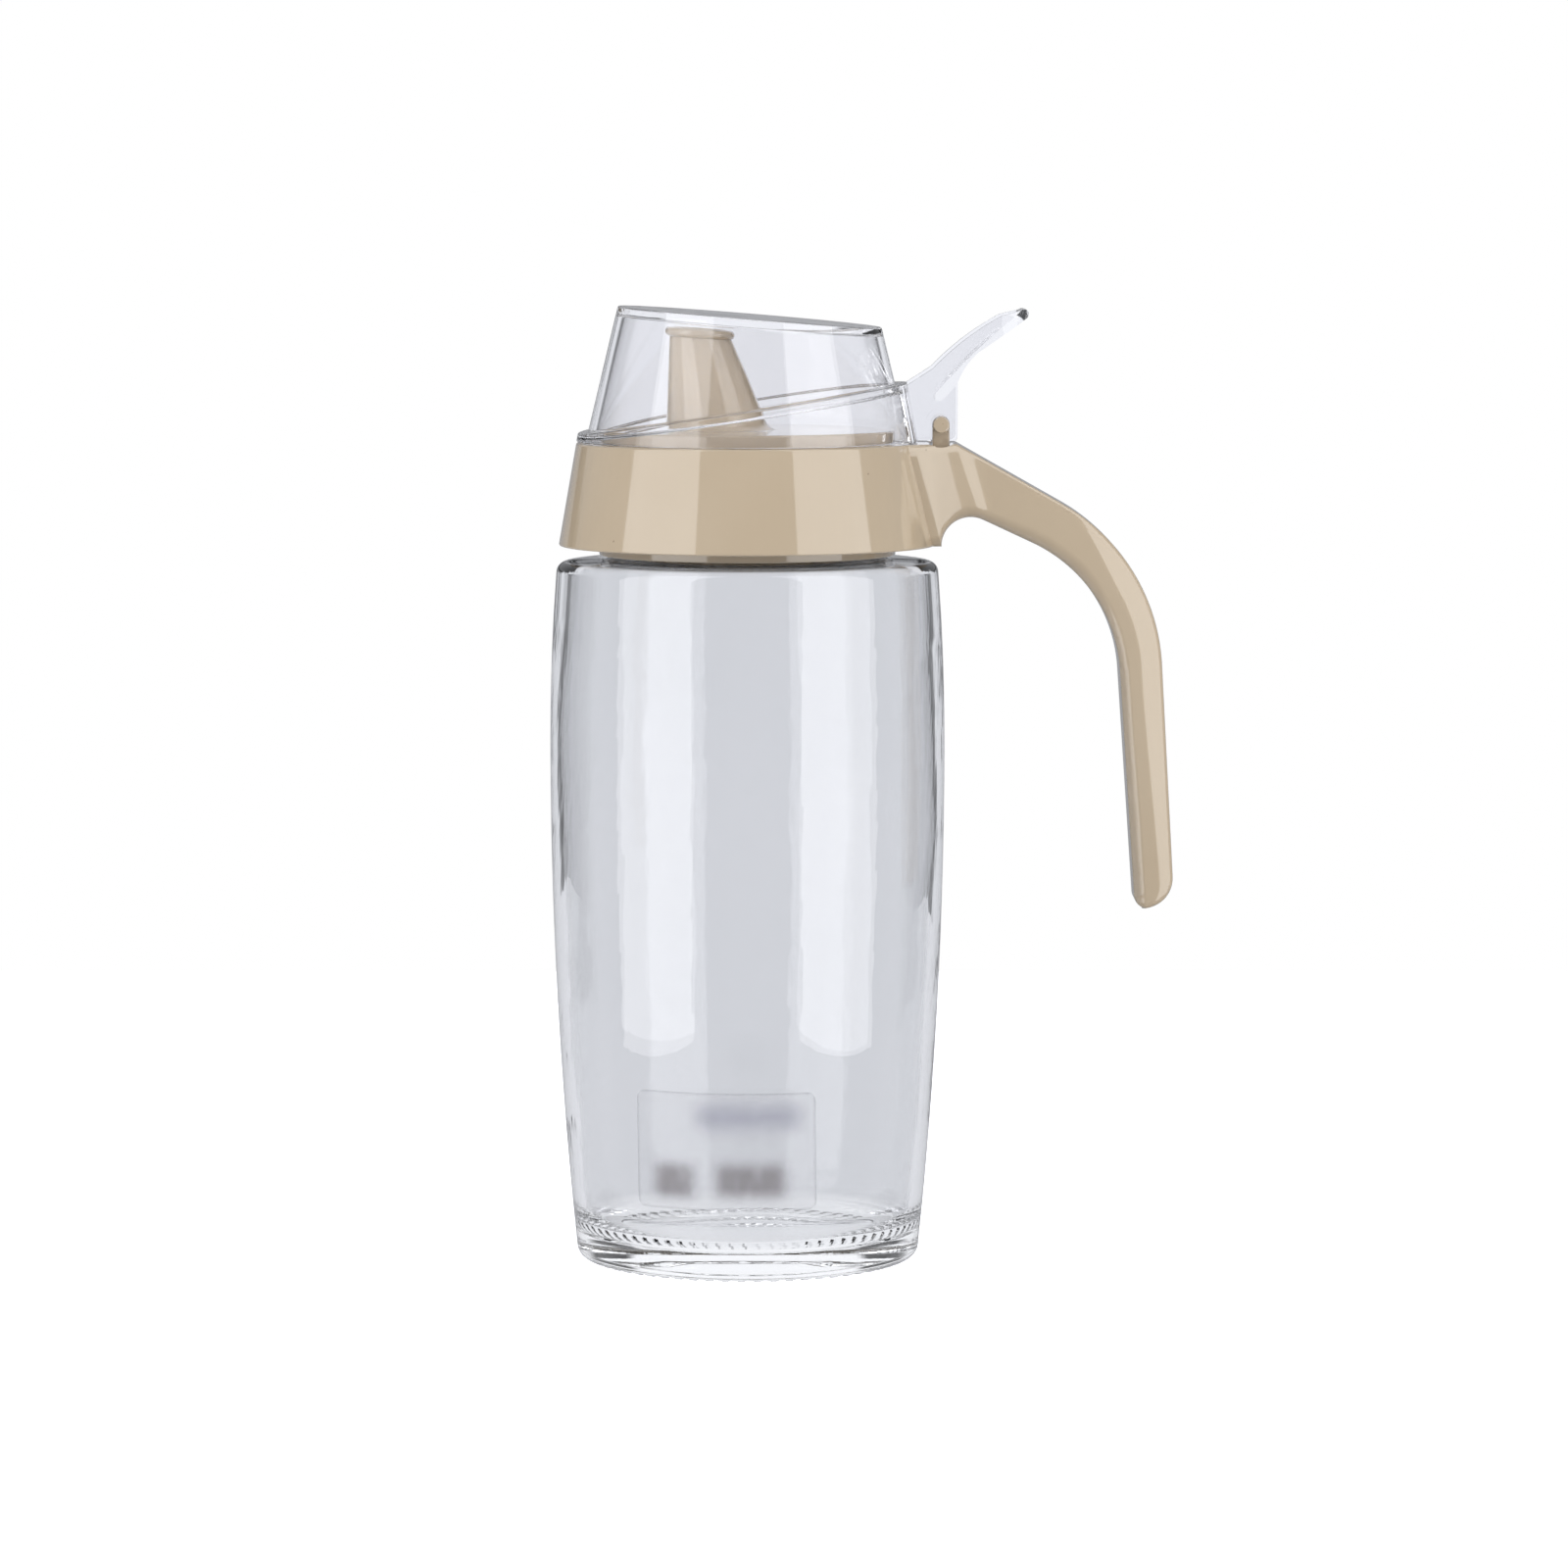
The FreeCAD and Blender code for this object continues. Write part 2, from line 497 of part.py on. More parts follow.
def rounded_lid_mass():
    """The lid's outer form with the edges of its top and of its shelf rounded."""
    mass = lid_mass(0.0)
    rims = [edge for edge in mass.Edges if not edge.Degenerated and isinstance(edge.Curve, Part.Ellipse)]
    top = max(rims, key=lambda edge: edge.BoundBox.ZMax)
    mass = mass.makeFillet(LID_TOP_ROUND, [top])
    rims = [edge for edge in mass.Edges if not edge.Degenerated and isinstance(edge.Curve, Part.Ellipse)]
    shelf = max(rims, key=lambda edge: edge.BoundBox.XMax - edge.BoundBox.XMin)
    return mass.makeFillet(LID_SHELF_ROUND, [shelf])


def tab_plan():
    """Upright block with the thumb tab's outline seen from above."""
    tip = HINGE_X + TAB_TIP_REACH
    start = COLLAR_TOP_RADIUS - 3 * COLLAR_WALL
    corners = [
        (FreeCAD.Vector(start, -EAR_OUTER, 0), 0),
        (FreeCAD.Vector(tip, -EAR_OUTER, 0), TAB_CORNER_ROUND),
        (FreeCAD.Vector(tip, EAR_OUTER, 0), TAB_CORNER_ROUND),
        (FreeCAD.Vector(start, EAR_OUTER, 0), 0),
    ]
    wire = Part.Wire(rounded_outline(corners))
    return Part.Face(wire).extrude(FreeCAD.Vector(0, 0, FAR))


def from_pin(reach, rise):
    """A side view point given from the hinge pin's centre."""
    return side(HINGE_X + reach, HINGE_HEIGHT + rise)


def tab_floor():
    """The thumb tab's bowed floor, in side view: a band from between the ears to the tip."""
    start = from_pin(TAB_FLOOR_START_REACH, TAB_FLOOR_START_RISE)
    end = from_pin(TAB_TIP_REACH - 0.7 * TAB_FLOOR_THICKNESS, TAB_TIP_RISE)
    along = (end - start).normalize()
    normal = FreeCAD.Vector(-along.z, 0, along.x)
    middle = (start + end) / 2 - normal * TAB_FLOOR_SAG
    drop = normal * -TAB_FLOOR_THICKNESS
    return [
        arc(start, middle, end),
        line(end, end + drop),
        arc(end + drop, middle + drop, start + drop),
        line(start + drop, start),
    ]


def ear_outline():
    """Side view of an ear with the tab's side above it."""
    floor = tab_floor()
    tip_top = floor[1].Vertexes[0].Point
    tip_low = floor[1].Vertexes[1].Point
    shelf_x = LID_SKIRT_RADIUS - LID_SKIRT_TAPER * EAR_CREST_RISE
    shelf_z = LID_EDGE + LID_SHELF_HEIGHT + shelf_x * math.tan(math.radians(LID_SHELF_TILT))
    inside_x = shelf_x - 1.5 * LID_WALL
    crest = from_pin(EAR_CREST_REACH, EAR_CREST_RISE)
    rim_end = from_pin(TAB_RIM_END_REACH, TAB_RIM_END_RISE)
    rim_bow = (rim_end - crest).normalize()
    rim_middle = (crest + rim_end) / 2 + FreeCAD.Vector(-rim_bow.z, 0, rim_bow.x) * TAB_RIM_BOW
    throat = from_pin(EAR_BACK_REACH + EAR_BACK_FLARE, EAR_CREST_RISE)
    back_high = from_pin(EAR_BACK_REACH, EAR_CREST_RISE - 2 * EAR_BACK_FLARE)
    belly = from_pin(TAB_BELLY_REACH, TAB_BELLY_RISE)
    back_low = side(HINGE_X + EAR_BACK_REACH, LID_EDGE)
    points = [
        side(inside_x, LID_EDGE),
        side(inside_x, shelf_z - LID_WALL),
        side(shelf_x, shelf_z - LID_SHELF_ROUND / 2),
        crest,
    ]
    edges = [line(points[index], points[index + 1]) for index in range(3)]
    edges += [
        arc(crest, rim_middle, rim_end),
        line(rim_end, tip_top),
        line(tip_top, tip_low),
        line(tip_low, belly),
        arc(belly, throat, back_high),
        line(back_high, back_low),
        line(back_low, points[0]),
    ]
    return edges


def pin_slot(half_width, low_y, high_y):
    """A slot over the pin, round at the top and open at the ear's lower edge."""
    low = LID_EDGE - PIN_RADIUS
    left = HINGE_X - half_width
    right = HINGE_X + half_width
    outline = [
        line(side(left, low), side(left, HINGE_HEIGHT)),
        arc(side(left, HINGE_HEIGHT), side(HINGE_X, HINGE_HEIGHT + half_width), side(right, HINGE_HEIGHT)),
        line(side(right, HINGE_HEIGHT), side(right, low)),
        line(side(right, low), side(left, low)),
    ]
    return extruded(outline, low_y, high_y)


def lid():
    """The clear lid in one piece: skirt, shelf, crown, ears over the pins, and thumb tab."""
    outside = rounded_lid_mass()
    plates = extruded(ear_outline(), -EAR_OUTER, EAR_OUTER)
    corners = []
    for edge in plates.Edges:
        middle = edge.valueAt((edge.FirstParameter + edge.LastParameter) / 2)
        if abs(middle.y) < 0.1 and abs(middle.z - LID_EDGE) < 0.1 and middle.x > HINGE_X:
            corners.append(edge)
    plates = plates.makeFillet(EAR_CORNER_ROUND, corners)
    plates = plates.common(tab_plan())
    gap = Part.makeBox(FAR, 2 * EAR_INNER, FAR, side(LID_SKIRT_RADIUS - 3 * LID_WALL, 0, -EAR_INNER))
    plates = plates.cut(gap)
    floor = extruded(tab_floor(), -EAR_INNER - EAR_THICKNESS / 2, EAR_INNER + EAR_THICKNESS / 2)
    floor = floor.common(tab_plan())
    body = outside.fuse(plates).fuse(floor)
    body = body.cut(lid_mass(LID_WALL))
    body = body.cut(pin_slot(SLOT_HALF_WIDTH, -2 * EAR_OUTER, 2 * EAR_OUTER))
    for sign in (-1, 1):
        faces = sorted((sign * (EAR_OUTER - SLOT_RECESS_DEPTH), sign * 2 * EAR_OUTER))
        body = body.cut(pin_slot(SLOT_HALF_WIDTH + SLOT_RECESS_STEP, faces[0], faces[1]))
    return body.removeSplitter()


def wall_block(low, high, inwards):
    """The barrel's wall made solid between two heights, or the surface that far inside it."""
    return turned_solid([
        wall_edge(low, high, inwards),
        line(side(wall_radius(high, inwards), high), side(0, high)),
        line(side(0, high), side(0, low)),
        line(side(0, low), side(wall_radius(low, inwards), low)),
    ])


def label():
    """The film label: a thin rounded rectangle wrapped on the front of the barrel."""
    low = LABEL_BOTTOM
    high = LABEL_BOTTOM + LABEL_HEIGHT
    half = LABEL_WIDTH / 2
    skin = wall_block(low - 1.0, high + 1.0, -LABEL_FILM_GAP - LABEL_THICKNESS)
    skin = skin.cut(wall_block(low - 1.0, high + 1.0, -LABEL_FILM_GAP))
    places = [side(-half, low), side(half, low), side(half, high), side(-half, high)]
    window = extruded(rounded_outline([(place, LABEL_CORNER_ROUND) for place in places]), -FAR, 0)
    film = skin.common(window)
    film.rotate(ORIGIN, UP, LABEL_TURN)
    return film


PIECES = {"bottle": bottle, "collar": collar, "spout": spout, "lid": lid, "label": label}

if __name__ == "__main__":
    os.makedirs("parts", exist_ok=True)
    for name, make in PIECES.items():
        shape = make()
        print(f"{name}: {shape.Volume:.0f} mm3, {len(shape.Solids)} solid, sound {shape.isValid()}")
        shape.exportStep(f"parts/{name}.step")
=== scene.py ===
"""Looks of a clear glass oil bottle with a moulded pouring top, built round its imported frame.

Forms are worked out in millimetres in the frame's own axes: +Z up, +X to the handle, -Y to the front.
A size that ends in steps or segments is a number of runs, and one that ends in round is a radius.
"""
import json
import logging
import math
from dataclasses import dataclass, field
from enum import Enum
from typing import Callable, Sequence

import bmesh
import bpy
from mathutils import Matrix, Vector


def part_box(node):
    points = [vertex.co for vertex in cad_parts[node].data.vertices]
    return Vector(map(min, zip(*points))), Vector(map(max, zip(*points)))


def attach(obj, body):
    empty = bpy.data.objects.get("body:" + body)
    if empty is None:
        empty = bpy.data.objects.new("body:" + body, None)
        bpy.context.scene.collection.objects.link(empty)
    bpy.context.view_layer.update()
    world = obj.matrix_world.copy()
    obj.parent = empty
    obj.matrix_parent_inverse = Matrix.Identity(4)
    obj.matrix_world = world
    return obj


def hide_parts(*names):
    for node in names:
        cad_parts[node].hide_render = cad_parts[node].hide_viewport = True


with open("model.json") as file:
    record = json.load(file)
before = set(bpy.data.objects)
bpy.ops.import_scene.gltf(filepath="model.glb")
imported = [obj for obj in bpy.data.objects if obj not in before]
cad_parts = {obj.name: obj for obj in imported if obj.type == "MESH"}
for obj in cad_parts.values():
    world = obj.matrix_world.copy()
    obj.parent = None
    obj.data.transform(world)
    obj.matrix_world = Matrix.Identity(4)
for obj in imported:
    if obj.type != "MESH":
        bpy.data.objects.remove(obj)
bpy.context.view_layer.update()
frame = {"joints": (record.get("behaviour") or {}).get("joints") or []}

MM = 0.001
PIN_X, _, PIN_Z = (value / MM for value in frame["joints"][0]["pos_m"])
MERGE_DISTANCE = 1e-7    # metres
LEAST_ANGLE = 0.02       # radians, the sharpest corner that is still rounded
MOST_OF_RUN = 0.49       # the share of a run that one rounding may take
INNER_WALL = "inner_wall"
FILM_MAP = "film"
LOG = logging.getLogger("oil_bottle")

Pair = tuple[float, float]
Point = tuple[float, float, float]
Colour = tuple[float, float, float, float]
Profile = Callable[[float], list[Pair]]
Piece = bpy.types.Object
Socket = bpy.types.NodeSocket


class Body(Enum):
    """The rigid bodies of the frame."""

    VESSEL = "vessel"
    FLIP_LID = "flip_lid"


class Slot(Enum):
    """The record's material slots."""

    GLASS = "glass"
    BEIGE = "beige_moulding"
    CLEAR = "clear_moulding"
    FILM = "label_film"


class Joining(Enum):
    """How a second form is joined to a first."""

    ADD = "UNION"
    CUT = "DIFFERENCE"
    KEEP_COMMON = "INTERSECT"


class Facing(Enum):
    """The view that an outline is drawn in: from the side (x, z) or from above (x, y)."""

    SIDE = "side"
    ABOVE = "above"


# ---------------------------------------------------------------------------------------------
# Outlines and meshes


@dataclass(frozen=True)
class Corner:
    """A corner of an outline, with the radius that rounds it.

    For a turned form, across is the radius and along the height.
    """

    across: float
    along: float
    rounding: float = 0.0


def rounded(corners: Sequence[Corner], steps: int = 5, closed: bool = False) -> list[Pair]:
    """Replace each corner that has a rounding by points on its arc.

    Args:
        corners: the outline's corners in order.
        steps: how many runs each arc is divided into.
        closed: whether the last corner is joined to the first.

    Returns:
        The outline's points. Their number depends only on which corners are rounded.
    """
    points: list[Pair] = []
    count = len(corners)
    for index, corner in enumerate(corners):
        here = Vector((corner.across, corner.along))
        at_end = not closed and index in (0, count - 1)
        if corner.rounding <= 0 or at_end:
            points.append((here.x, here.y))
            continue
        last = corners[index - 1]
        following = corners[(index + 1) % count]
        back = Vector((last.across, last.along)) - here
        ahead = Vector((following.across, following.along)) - here
        half = max(back.angle(ahead, math.pi), LEAST_ANGLE) / 2
        reach = min(corner.rounding / math.tan(half), MOST_OF_RUN * back.length, MOST_OF_RUN * ahead.length)
        enter = here + back.normalized() * reach
        leave = here + ahead.normalized() * reach
        pull = math.sin(half)
        for step in range(steps + 1):
            share = step / steps
            weights = ((1 - share) ** 2, 2 * share * (1 - share) * pull, share ** 2)
            point = (enter * weights[0] + here * weights[1] + leave * weights[2]) / sum(weights)
            points.append((point.x, point.y))
    return points


@dataclass
class Form:
    """The points and faces of a mesh, in millimetres."""

    points: list[Point] = field(default_factory=list)
    faces: list[tuple[int, ...]] = field(default_factory=list)

    def piece(self, name: str) -> Piece:
        """Make a closed Blender object of the form, with its faces outwards.

        Args:
            name: the object's name.

        Returns:
            The object, at the origin and in metres.
        """
        mesh = bpy.data.meshes.new(name)
        scaled = [(x * MM, y * MM, z * MM) for x, y, z in self.points]
        mesh.from_pydata(scaled, [], self.faces)
        tidy = bmesh.new()
        tidy.from_mesh(mesh)
        bmesh.ops.remove_doubles(tidy, verts=tidy.verts, dist=MERGE_DISTANCE)
        bmesh.ops.recalc_face_normals(tidy, faces=tidy.faces)
        tidy.to_mesh(mesh)
        tidy.free()
        made = bpy.data.objects.new(name, mesh)
        bpy.context.scene.collection.objects.link(made)
        return made


def lofted(rings: Sequence[Sequence[Point]], looped: bool, capped: bool = False) -> Form:
    """Skin a row of rings that have equally many points.

    Args:
        rings: the rings' points in millimetres, each ring in the same turning sense.
        looped: whether the last ring is joined to the first.
        capped: whether the first and last rings are closed by a face.

    Returns:
        The form.
    """
    width = len(rings[0])
    form = Form([point for ring in rings for point in ring])
    spans = len(rings) if looped else len(rings) - 1
    for row in range(spans):
        above = (row + 1) % len(rings)
        for column in range(width):
            beside = (column + 1) % width
            form.faces.append((row * width + column, row * width + beside,
                               above * width + beside, above * width + column))
    if capped:
        form.faces.append(tuple(range(width)))
        form.faces.append(tuple(range((len(rings) - 1) * width, len(rings) * width)))
    return form


def turned(profile: Profile, segments: int, closed: bool) -> Form:
    """Turn a profile about the Z axis. The profile may change on its way round.

    Args:
        profile: gives the (radius, height) points for an angle from +X, always equally many.
        segments: how many columns the turn has.
        closed: whether the profile closes on itself; if not, its ends lie on the axis.

    Returns:
        The form.
    """
    form = Form()
    width = 0
    for column in range(segments):
        angle = 2 * math.pi * column / segments
        points = profile(angle)
        width = len(points)
        form.points += [(r * math.cos(angle), r * math.sin(angle), z) for r, z in points]
    spans = width if closed else width - 1
    for column in range(segments):
        beside = (column + 1) % segments
        for row in range(spans):
            above = (row + 1) % width
            form.faces.append((column * width + row, beside * width + row,
                               beside * width + above, column * width + above))
    return form


def prism(outline: Sequence[Pair], facing: Facing, low: float, high: float) -> Form:
    """Make a closed outline solid between two levels of the axis that it faces.

    Args:
        outline: the outline's points.
        facing: the view that the outline is drawn in.
        low: the lower level, along Y for a side view and along Z for a view from above.
        high: the upper level.

    Returns:
        The form.
    """
    side = facing is Facing.SIDE
    rings = [[(x, level, other) if side else (x, other, level) for x, other in outline]
             for level in (low, high)]
    return lofted(rings, looped=False, capped=True)


def arc_points(start: Sequence[float], middle: Sequence[float], end: Sequence[float],
               steps: int) -> list[Pair]:
    """Points of the circular arc through three points, both ends included.

    Args:
        start: the arc's first point.
        middle: a point that the arc passes through.
        end: the arc's last point.
        steps: how many runs the arc is divided into.

    Returns:
        The points in order.
    """
    a, b, c = Vector(start), Vector(middle), Vector(end)
    first, second = b - a, c - a
    cross = 2 * (first.x * second.y - first.y * second.x)
    offset = Vector((second.y * first.length_squared - first.y * second.length_squared,
                     first.x * second.length_squared - second.x * first.length_squared)) / cross
    centre = a + offset
    radius = offset.length
    begin = math.atan2(a.y - centre.y, a.x - centre.x)
    halt = (math.atan2(b.y - centre.y, b.x - centre.x) - begin) % (2 * math.pi)
    turn = (math.atan2(c.y - centre.y, c.x - centre.x) - begin) % (2 * math.pi)
    if halt > turn:
        turn -= 2 * math.pi
    angles = [begin + turn * step / steps for step in range(steps + 1)]
    return [(centre.x + radius * math.cos(t), centre.y + radius * math.sin(t)) for t in angles]


def bend_points(start: Pair, corner: Pair, end: Pair, radius: float, steps: int) -> list[Pair]:
    """Points of the arc that rounds a corner between two straight runs.

    Args:
        start: where the first run comes from.
        corner: the corner.
        end: where the second run goes.
        radius: the arc's radius.
        steps: how many runs the arc is divided into.

    Returns:
        The arc's points, tangent to both runs.
    """
    here = Vector(corner)
    back = (Vector(start) - here).normalized()
    ahead = (Vector(end) - here).normalized()
    half = back.angle(ahead) / 2
    reach = radius / math.tan(half)
    middle = here + (back + ahead).normalized() * (radius / math.sin(half) - radius)
    return arc_points(here + back * reach, middle, here + ahead * reach, steps)


def circle_points(centre: Pair, radius: float, steps: int) -> list[Pair]:
    """Points of a circle, the first one beside the centre along the first axis."""
    turns = [2 * math.pi * step / steps for step in range(steps)]
    return [(centre[0] + radius * math.cos(turn), centre[1] + radius * math.sin(turn)) for turn in turns]


def between(start: Pair, end: Pair, steps: int) -> list[Pair]:
    """Evenly spaced points from start towards end, without the end itself."""
    return [(start[0] + (end[0] - start[0]) * step / steps, start[1] + (end[1] - start[1]) * step / steps)
            for step in range(steps)]


def smooth_step(value: float, low: float, high: float) -> float:
    """Ease from 0 at low to 1 at high."""
    share = min(1.0, max(0.0, (value - low) / (high - low)))
    return share * share * (3 - 2 * share)


def make_plain(piece: Piece) -> None:
    """Turn a piece's modifiers into its plain mesh.

    Args:
        piece: the piece.
    """
    evaluated = piece.evaluated_get(bpy.context.evaluated_depsgraph_get())
    mesh = bpy.data.meshes.new_from_object(evaluated)
    piece.modifiers.clear()
    piece.data = mesh
    mesh.name = piece.name


def join(piece: Piece, other: Piece, how: Joining) -> None:
    """Join a second piece to a first by an exact boolean, and remove the second.

    Args:
        piece: the first piece, which is changed.
        other: the second piece.
        how: whether the second is added, cut away or kept only where both are.
    """
    modifier = piece.modifiers.new(how.value.lower(), "BOOLEAN")
    modifier.operation = how.value
    modifier.solver = "EXACT"
    modifier.object = other
    make_plain(piece)
    bpy.data.objects.remove(other)


def round_edges(piece: Piece, width: float, angle: float = 40.0, steps: int = 2) -> None:
    """Round a piece's edges that turn more than an angle.

    Args:
        piece: the piece.
        width: the rounding's width in millimetres.
        angle: the smallest turn that is rounded, in degrees.
        steps: the rounding's segments.
    """
    modifier = piece.modifiers.new("round", "BEVEL")
    modifier.width = width * MM
    modifier.segments = steps
    modifier.limit_method = "ANGLE"
    modifier.angle_limit = math.radians(angle)
    make_plain(piece)


def dress(piece: Piece, material: bpy.types.Material, crease: float) -> None:
    """Give a piece its material and shade it smooth, with flats kept flat beside their rounds.

    Args:
        piece: the piece.
        material: its one material.
        crease: edges that turn more than this angle stay sharp, in degrees.
    """
    mesh = piece.data
    mesh.materials.clear()
    mesh.materials.append(material)
    mesh.polygons.foreach_set("use_smooth", [True] * len(mesh.polygons))
    mesh.set_sharp_from_angle(angle=math.radians(crease))
    modifier = piece.modifiers.new("normals", "WEIGHTED_NORMAL")
    modifier.keep_sharp = True
    modifier.weight = 100
    modifier.thresh = 0.0
    make_plain(piece)


def hand_over(piece: Piece, body: Body, node: str) -> None:
    """Put a finished piece in the frame in place of its CAD node, and report it.

    Args:
        piece: the piece.
        body: the body that it moves with.
        node: the CAD node that it stands for.
    """
    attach(piece, body.value)
    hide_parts(node)
    LOG.info("%s stands for %s: %d faces", piece.name, node, len(piece.data.polygons))


# ---------------------------------------------------------------------------------------------
# Node trees


class Sketch:
    """Adds nodes to a tree and wires them, so that a formula reads in a line."""

    def __init__(self, tree: bpy.types.NodeTree) -> None:
        """Start on a tree."""
        self.tree = tree

    def node(self, kind: str, **settings: object) -> bpy.types.Node:
        """Add a node.

        Args:
            kind: the node's type.
            **settings: its properties and their values.

        Returns:
            The node.
        """
        made = self.tree.nodes.new(kind)
        for name, value in settings.items():
            setattr(made, name, value)
        return made

    def feed(self, socket: Socket, value: object) -> None:
        """Set an input, or link it if the value is another node's output.

        Args:
            socket: the input.
            value: a plain value or an output socket.
        """
        if isinstance(value, Socket):
            self.tree.links.new(value, socket)
        else:
            socket.default_value = value

    def math(self, operation: str, *values: object) -> Socket:
        """Add a math node.

        Args:
            operation: the node's operation.
            *values: its inputs, numbers or sockets.

        Returns:
            The result's socket.
        """
        made = self.node("ShaderNodeMath", operation=operation)
        for socket, value in zip(made.inputs, values):
            self.feed(socket, value)
        return made.outputs[0]

    def product(self, first: Socket, *others: object) -> Socket:
        """Multiply several values.

        Args:
            first: the first factor.
            *others: the other factors, numbers or sockets.

        Returns:
            The product's socket.
        """
        for other in others:
            first = self.math("MULTIPLY", first, other)
        return first

    def fade(self, share: Socket, first: object, second: object) -> Socket:
        """Go from a first number to a second by a share."""
        return self.math("MULTIPLY_ADD", share, self.math("SUBTRACT", second, first), first)

    def ease(self, value: Socket, low: object, high: object) -> Socket:
        """Ease smoothly from 0 where the value is low to 1 where it is high.

        Args:
            value: the value's socket.
            low: where the result is 0, a number or a socket. It may be the larger one.
            high: where the result is 1.

        Returns:
            The result's socket.
        """
        made = self.node("ShaderNodeMapRange", interpolation_type="SMOOTHSTEP")
        for name, given in (("Value", value), ("From Min", low), ("From Max", high)):
            self.feed(made.inputs[name], given)
        return made.outputs["Result"]

    def band(self, value: Socket, rise: Pair, fall: Pair) -> Socket:
        """Give 1 inside a band of the value: rise and fall each run from where it is 0 to where it is 1."""
        return self.product(self.ease(value, *rise), self.ease(value, *fall))

    def blend(self, share: Socket, first: object, second: object) -> Socket:
        """Mix two colours.

        Args:
            share: how much of the second colour shows, from 0 to 1.
            first: the first colour, plain or a socket.
            second: the second colour.

        Returns:
            The mixed colour's socket.
        """
        made = self.node("ShaderNodeMix", data_type="RGBA")
        for index, value in ((0, share), (6, first), (7, second)):
            self.feed(made.inputs[index], value)
        return made.outputs[2]

    def split(self, vector: Socket) -> Sequence[Socket]:
        """Take a vector apart.

        Args:
            vector: the vector's socket.

        Returns:
            The sockets of its x, y and z.
        """
        made = self.node("ShaderNodeSeparateXYZ")
        self.feed(made.inputs[0], vector)
        return made.outputs

    def vector(self, *parts: object) -> Socket:
        """Put a vector together.

        Args:
            *parts: its x, y and z, numbers or sockets.

        Returns:
            The vector's socket.
        """
        made = self.node("ShaderNodeCombineXYZ")
        for socket, part in zip(made.inputs, parts):
            self.feed(socket, part)
        return made.outputs[0]

    def cloud(self, scale: float, detail: float, stretch: Sequence[float] = (1, 1, 1)) -> Socket:
        """Noise on a piece's own coordinates, for a material.

        Args:
            scale: the noise's scale per metre.
            detail: its octaves.
            stretch: how the noise is scaled along each axis.

        Returns:
            The noise's value socket.
        """
        place = self.node("ShaderNodeTexCoord")
        mapping = self.node("ShaderNodeMapping")
        mapping.inputs["Scale"].default_value = stretch
        self.feed(mapping.inputs["Vector"], place.outputs["Object"])
        noise = self.node("ShaderNodeTexNoise")
        noise.inputs["Scale"].default_value = scale
        noise.inputs["Detail"].default_value = detail
        self.feed(noise.inputs["Vector"], mapping.outputs[0])
        return noise.outputs[0]


@dataclass(frozen=True)
class SurfaceTree:
    """A Geometry Nodes tree that shifts a surface by a rule, with named inputs for its sizes."""

    name: str
    sizes: dict[str, float]
    rule: Callable[[Sketch, dict[str, Socket]], Socket]

    def apply(self, piece: Piece, material: bpy.types.Material) -> None:
        """Run the tree on a piece and leave its result as the piece's plain mesh.

        Args:
            piece: the piece whose surface is shifted.
            material: the material that the tree's end sets.
        """
        tree = bpy.data.node_groups.new(self.name, "GeometryNodeTree")
        sockets = tree.interface
        sockets.new_socket("Geometry", in_out="INPUT", socket_type="NodeSocketGeometry")
        sockets.new_socket("Geometry", in_out="OUTPUT", socket_type="NodeSocketGeometry")
        identifiers = {}
        for name in self.sizes:
            made = sockets.new_socket(name, in_out="INPUT", socket_type="NodeSocketFloat")
            identifiers[name] = made.identifier
        sketch = Sketch(tree)
        entry = sketch.node("NodeGroupInput")
        shift = sketch.node("GeometryNodeSetPosition")
        realize = sketch.node("GeometryNodeRealizeInstances")
        finish = sketch.node("GeometryNodeSetMaterial")
        leave = sketch.node("NodeGroupOutput")
        finish.inputs["Material"].default_value = material
        sketch.feed(shift.inputs["Geometry"], entry.outputs["Geometry"])
        sizes = {name: entry.outputs[name] for name in self.sizes}
        sketch.feed(shift.inputs["Offset"], self.rule(sketch, sizes))
        sketch.feed(realize.inputs[0], shift.outputs[0])
        sketch.feed(finish.inputs["Geometry"], realize.outputs[0])
        sketch.feed(leave.inputs[0], finish.outputs[0])
        modifier = piece.modifiers.new(self.name, "NODES")
        modifier.node_group = tree
        for name, value in self.sizes.items():
            modifier[identifiers[name]] = value
        make_plain(piece)


def surface_place(sketch: Sketch) -> tuple[Socket, Socket, Socket, Socket]:
    """Where a point of the surface is, for a Geometry Nodes tree.

    Args:
        sketch: the tree's sketch.

    Returns:
        The sockets of its x, y and z and of its distance from the Z axis.
    """
    x, y, z = sketch.split(sketch.node("GeometryNodeInputPosition").outputs[0])
    squares = sketch.math("ADD", sketch.math("MULTIPLY", x, x), sketch.math("MULTIPLY", y, y))
    return x, y, z, sketch.math("SQRT", squares)


